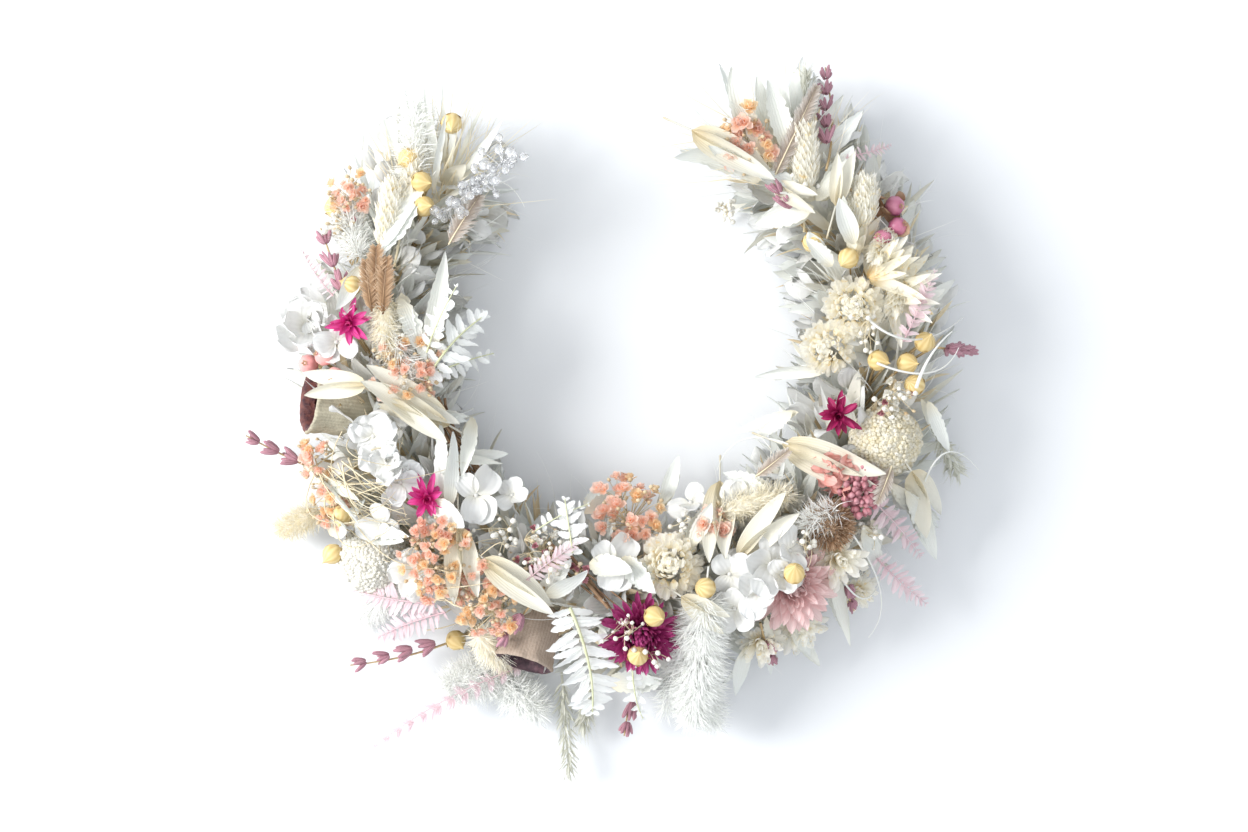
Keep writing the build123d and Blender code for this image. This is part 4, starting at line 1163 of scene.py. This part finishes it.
def star(rng, node, x, y, dye):
    """A starry pink flower: four rings of pointed petals."""
    heap = Heap()
    m = facing(on_mound(x, y, 4), unit(mound_normal(x, y) + rng.normal(size=3) * 0.15), rng.uniform(0, 6))
    for count, rise, long in ((8, 0.0, 8.6), (7, 0.4, 7.6), (6, 0.85, 6.4), (5, 1.2, 5.0)):
        for n in range(count):
            turn = (n + 0.5 * rise) * 2 * math.pi / count + rng.uniform(-0.3, 0.3)
            way, face = raised(turn, rise + rng.uniform(-0.3, 0.3))
            petal = blade(long * rng.uniform(0.7, 1.2), 2.5, (0.9, 0.72), 9, 5, bend=rng.uniform(-0.7, 0.4),
                          cup=0.7, twist=rng.uniform(-0.3, 0.3), thick=0.12)
            heap.add(petal, m @ pose(flat(turn) * 0.5, way, face), rng.random())
    heap.add(tube(bow([0, 0, 0], [2, -3, -16], [1, 1, 0], 6), 0.6, 6), m)
    heap.make(node + "_head", [dye], [node])


def heads():
    """The strawflowers, pompons, scabiosa head, daisies and starry flowers."""
    rng = np.random.default_rng(71)
    strawflowers(rng)
    pompons(rng)
    scabiosa(rng)
    daisies(rng)
    star(rng, "star_flower_left", -103, 9, "hot")
    star(rng, "star_flower_lower_left", -74, -56, "hot")
    star(rng, "star_flower_right", 78, -25, "deep")


def globes():
    """The craspedia ball and the softer cream ball on the left."""
    rng = np.random.default_rng(81)
    for name, material, node, row in (
            ("craspedia_globe", "cream_ball", "craspedia_ball", (97, -35, -8, 13.2, 700, 1.0)),
            ("cream_globe", "white_floret", "cream_ball", (-96, -80, -3, 13.6, 760, 0.86))):
        heap = Heap()
        ball(heap, rng, *row)
        heap.make(name, [material], [node])


def gumnuts():
    """The two woody capsules."""
    rng = np.random.default_rng(83)
    for name, x, y, drop, way, length, radius, bark, rim in (
            ("gumnut_left", -108, -21, -17, (-1, 0.12, 0.42), 27, 12, "bark", "rim"),
            # The base gumnut's rim and inside take the darker rim copy, which carries painted shade.
            ("gumnut_base", -36, -108, -14, (-0.30, -1, 0.35), 25, 11, "brown_bark", "painted_shade_rim")):
        way = unit(np.array(way, float))
        heap = Heap()
        gumnut(heap, rng, on_mound(x, y, drop) + way * length / 2, way, length, radius)
        heap.make(name + "_capsule", [bark, rim], [name])


def grasses():
    """Bunny tails, phalaris heads, the plume and the grass spikes."""
    rng = np.random.default_rng(91)
    heap = Heap()
    for start, end, width in BUNNY_TAILS:
        hairy_head(heap, rng, on_mound(*start, 3), on_mound(*end, 4), width * 1.1, 1300, 6.0, lean=0.42,
                   fuzz=0.16, wide=0.3)
    heap.make("bunny_tail_heads", ["hair"], ["bunny_tails"])
    heap = Heap()
    for start, end, width in PHALARIS:
        scaled_head(heap, rng, on_mound(*start, 2), on_mound(*end, 6), width * 1.5, 190, 5, (5.6, 2.0))
    for start, end, width in SMALL_PHALARIS:
        scaled_head(heap, rng, on_mound(*start, 0), on_mound(*end, 4), width, 90, 9)
    heap.make("phalaris_spikes", ["scale"], ["phalaris_heads"])
    heap = Heap()
    for start, end, width, count, drop, rise in WHITE_FLUFF:
        hairy_head(heap, rng, on_mound(*start, drop), on_mound(*end, rise), width, count, 7.5, lean=0.45,
                   fuzz=0.4, wide=0.36, core=False)
    heap.make("white_plume_head", ["white_hair"], ["white_plume"])
    heap = Heap()
    for start, end in GRASS_SPIKES:
        scaled_head(heap, rng, on_mound(*start, 1), on_mound(*end, 4), 5.0, 84, 9, (5.4, 1.0), 0.28)
    heap.make("grass_spike_heads", ["grey_scale"], ["grass_spikes"])


def rice_flower():
    """A tight cluster of rose-pink buds."""
    rng = np.random.default_rng(95)
    heap = Heap()
    centre, normal = on_mound(86, -53, 1), mound_normal(86, -53)
    for _ in range(170):
        way = rng.normal(size=3)
        way = unit(way + normal * 0.7)
        spot = centre + way * np.array([7, 9, 8]) * rng.uniform(0.4, 1.0)
        heap.add(bud(rng.uniform(2.0, 2.8), rng.uniform(0.9, 1.3), 7), facing(spot, way, 0), rng.random())
    for _ in range(30):
        way = unit(rng.normal(size=3) + normal)
        heap.add(tube(bow(centre - normal * 10, centre + way * 7, [0.5, 0, 0], 4), 0.25, 4), rnd=0.5, mat=1)
    for _ in range(34):
        spot = on_mound(77 + rng.uniform(-5, 5), -47 + rng.uniform(-7, 6), rng.uniform(-1, 4))
        way = unit(rng.normal(size=3) + UP * 0.6)
        petal = curled_petal(rng, rng.uniform(4, 6.5), rng.uniform(3, 5))
        heap.add(petal, pose(spot, way, UP), rng.random(), 2)
    heap.make("rice_flower_cluster", ["rose", "stem", "coral"], ["rice_flower"])


def crystal():
    """A sprig of clear beads."""
    rng = np.random.default_rng(97)
    heap = Heap()
    start, end = on_mound(-69, 48, 5), on_mound(-44, 68, 24)
    heap.add(tube(bow(start, end, [1, 0, 3], 10), 0.4, 8))
    drop = lathe([(0.02, -1.0), (0.6, -0.8), (1.0, 0), (0.7, 0.7), (0.02, 1.15)], 12)
    for n in range(70):
        share = rng.random()
        spot = start + (end - start) * share
        tip = spot + unit(rng.normal(size=3) + UP * 0.4) * rng.uniform(2, 9)
        heap.add(tube(bow(spot, tip, [0.3, 0, 0.3], 4), 0.22, 5))
        heap.add(drop, facing(tip, tip - spot, 0, rng.uniform(0.9, 2.1)))
    heap.make("crystal_beads", ["clear"], ["crystal_sprig"])


def end_sprays():
    """Long pale bracts and fine awns that finish both ends."""
    rng = np.random.default_rng(99)
    for side, leaves in END_BRACTS.items():
        heap = Heap()
        for x, y, heading, long in leaves:
            way = flat(math.radians(heading)) + UP * rng.uniform(-0.3, 0.3)
            wide = rng.uniform(2.4, 4.4) if side == "left" else rng.uniform(6, 9)
            leaf = blade(long, wide, (0.8, 0.75), 18, 7, bend=rng.uniform(-0.4, 0.6), cup=0.45, ragged=0.25,
                         twist=rng.uniform(-0.5, 0.5), ruffle=0.03, phase=rng.uniform(0, 6), thick=0.2)
            heap.add(leaf, pose(on_mound(x, y, rng.uniform(-8, 3)), way, UP + rng.normal(size=3) * 0.3),
                     rng.random() ** 2)
        for _ in range(140 if side == "left" else 110):
            x, y, heading, long = leaves[rng.integers(len(leaves))]
            way = flat(math.radians(heading + rng.normal() * 14)) + UP * rng.uniform(-0.35, 0.35)
            spot = on_mound(x + rng.normal() * 5, y + rng.normal() * 5, rng.uniform(-16, -3))
            awn = blade(rng.uniform(14, 42), rng.uniform(0.2, 0.55), (0.5, 0.8), 9, 2,
                        bend=rng.uniform(-0.9, 0.9))
            heap.add(awn, pose(spot, way, UP + rng.normal(size=3)), rng.random(), 1)
        heap.make("end_spray_bracts_" + side, ["leaf", "awn"], ["end_spray_" + side])


def loose_awns():
    """Fine white strands that escape all round the crown."""
    rng = np.random.default_rng(101)
    heap = Heap()
    for _ in range(420):
        angle = rng.uniform(RING_START, RING_START + RING_SWEEP)
        spot, out, ahead = ring_spot(angle)
        around = math.radians(rng.uniform(-5, 185))
        cross = out * math.cos(around) + UP * abs(math.sin(around))
        base = spot + UP * TAPE_R + out * math.cos(around) * 22 + UP * abs(math.sin(around)) * 24
        way = unit(cross + ahead * to_ends(angle) * rng.uniform(0.2, 1.6) + rng.normal(size=3) * 0.3)
        heap.add(blade(rng.uniform(10, 34), 0.3, (0.5, 0.8), 10, 2, bend=rng.normal() * 0.9),
                 pose(base, way, cross), rng.random())
    for start, middle, end, radius in STRANDS:
        a, b, c = on_mound(*start, 7), on_mound(*middle, 16), on_mound(*end, 14)
        u = np.linspace(0, 1, 18)[:, None]
        line = (1 - u) ** 2 * a + 2 * u * (1 - u) * b + u**2 * c
        heap.add(tube(line, np.linspace(radius, 0.3 * radius, 18), 6), rnd=rng.random())
    heap.make("loose_awns", ["white_hair"])


def dress():
    """Every piece of the crown."""
    tape_wrap()
    stalks()
    visible_stems()
    foliage("ruscus_low_left", 1, 120, (128, 222), ["ruscus_leaves_left"])
    foliage("ruscus_low_base", 2, 140, (222, 326), ["ruscus_leaves_base"])
    foliage("ruscus_low_right", 3, 130, (326, 418), ["ruscus_leaves_right"])
    foliage("oat_filler", 4, 120, material="husk", length=(20, 32), width=(4, 7),
            reach=(0.85, 1.1))
    foliage("straw_filler", 7, 420, material="straw", grow=fine_blade,
            length=(14, 26), width=(1.2, 3.4), reach=(0.66, 0.98))
    foliage("white_bract_filler", 8, 330, material="petal", grow=curled_petal,
            length=(10, 19), width=(7, 12), reach=(0.84, 1.05), lean=(0.1, 0.8))
    foliage("white_blade_filler", 9, 420, grow=fine_blade, length=(18, 34), width=(1.0, 3.2),
            reach=(0.8, 1.12), lean=(0.3, 1.4))
    for side in SIDES:
        gather("top_leaves_" + side, 13, TOP_LEAVES[side], top_leaf, ["leaf"], "bleached_leaf")
        flax(side)
        gather("lavender_spikes_" + side, 31, LAVENDER[side], lavender_spike, ["lavender", "stem"],
               "lavender_bud", "lavender_" + side)
        gather("oat_spikelets_" + side, 51, OAT_HUSKS[side], husk, ["husk"], "oat_husk", "oat_husks_" + side)
        gather("pink_fern_fronds_" + side, 43, PINK_FERN[side], pink_frond, ["pink_fern"], "pink_frond",
               "pink_fern_" + side)
    for side in ("left", "base"):
        gather("white_fern_fronds_" + side, 41, WHITE_FERN[side], white_frond, ["fern", "rib"],
               "bleached_leaf", "white_fern_" + side)
        gather("hydrangea_petals_" + side, 53, HYDRANGEA[side], hydrangea, ["petal"], "white_petal",
               "hydrangea_" + side)
    for side, *scraps in (("left", "salmon_berry", -114, 4, 6, "petal", "white_petal"),
                          ("right", "berry", 98, 51, 5, "brown", "brown_floret")):
        berry_cluster(side, *scraps)
        gather("feather_vanes_" + side, 93, FEATHERS[side], feather, ["feather", "pale_stem", "grey_feather"],
               "feather", "feathers_" + side)
    gypsophila()
    heads()
    globes()
    gumnuts()
    grasses()
    rice_flower()
    crystal()
    end_sprays()
    loose_awns()


# ---- carried-over CAD nodes, floor, light and camera -----------------------------------------
def finish_cad_nodes():
    """Give the CAD nodes that stay visible their real finish."""
    for node, material in (("core_wire", "wire"), ("binding_wire", "wire"), ("bound_stems", "stem")):
        obj = bpy.data.objects[node]
        if not obj.material_slots:
            obj.data.materials.append(M[material])
        for place in obj.material_slots:
            place.material = M[material]


def studio():
    """A white floor and surroundings, two soft lights and a camera straight above."""
    bpy.ops.mesh.primitive_plane_add(size=6.0, location=(0, 0, 0))
    floor = bpy.context.object
    floor.name = "floor"
    f = Finish("floor_white", 0.9)
    f.colour(f.mix(f.math("MULTIPLY", f.noise(3.0), 0.2), (0.765, 0.78, 0.80), (0.755, 0.77, 0.79)))
    floor.data.materials.append(f.material)

    world = bpy.data.worlds.new("soft_white")
    world.use_nodes = True
    world.node_tree.nodes["Background"].inputs["Color"].default_value = (0.915, 0.955, 1.0, 1.0)
    world.node_tree.nodes["Background"].inputs["Strength"].default_value = 0.83
    bpy.context.scene.world = world

    def soft_light(name, place, size, power, colour):
        light = bpy.data.lights.new(name, "AREA")
        light.shape = "DISK"
        light.size = size
        light.energy = power
        light.color = colour
        lamp = bpy.data.objects.new(name, light)
        lamp.location = place
        lamp.rotation_euler = (Vector((0, 0, 0)) - Vector(place)).to_track_quat("-Z", "Y").to_euler()
        bpy.context.scene.collection.objects.link(lamp)
    soft_light("window_left", (-1.35, 0.22, 1.1), 0.9, 34.0, (0.995, 0.99, 0.98))
    soft_light("overhead_fill", (0.1, -0.5, 1.9), 1.6, 9.0, (0.97, 0.98, 1.0))

    camera = bpy.data.cameras.new("camera")
    camera.lens = 70.0
    camera.sensor_width = 36.0
    camera.clip_start = 0.01
    view = bpy.data.objects.new("camera", camera)
    view.location = (-0.0011, -0.0255, 0.947)
    bpy.context.scene.collection.objects.link(view)
    bpy.context.scene.camera = view
    bpy.context.scene.view_settings.view_transform = "Standard"
    bpy.context.scene.view_settings.exposure = 0.0


dress()
finish_cad_nodes()
studio()
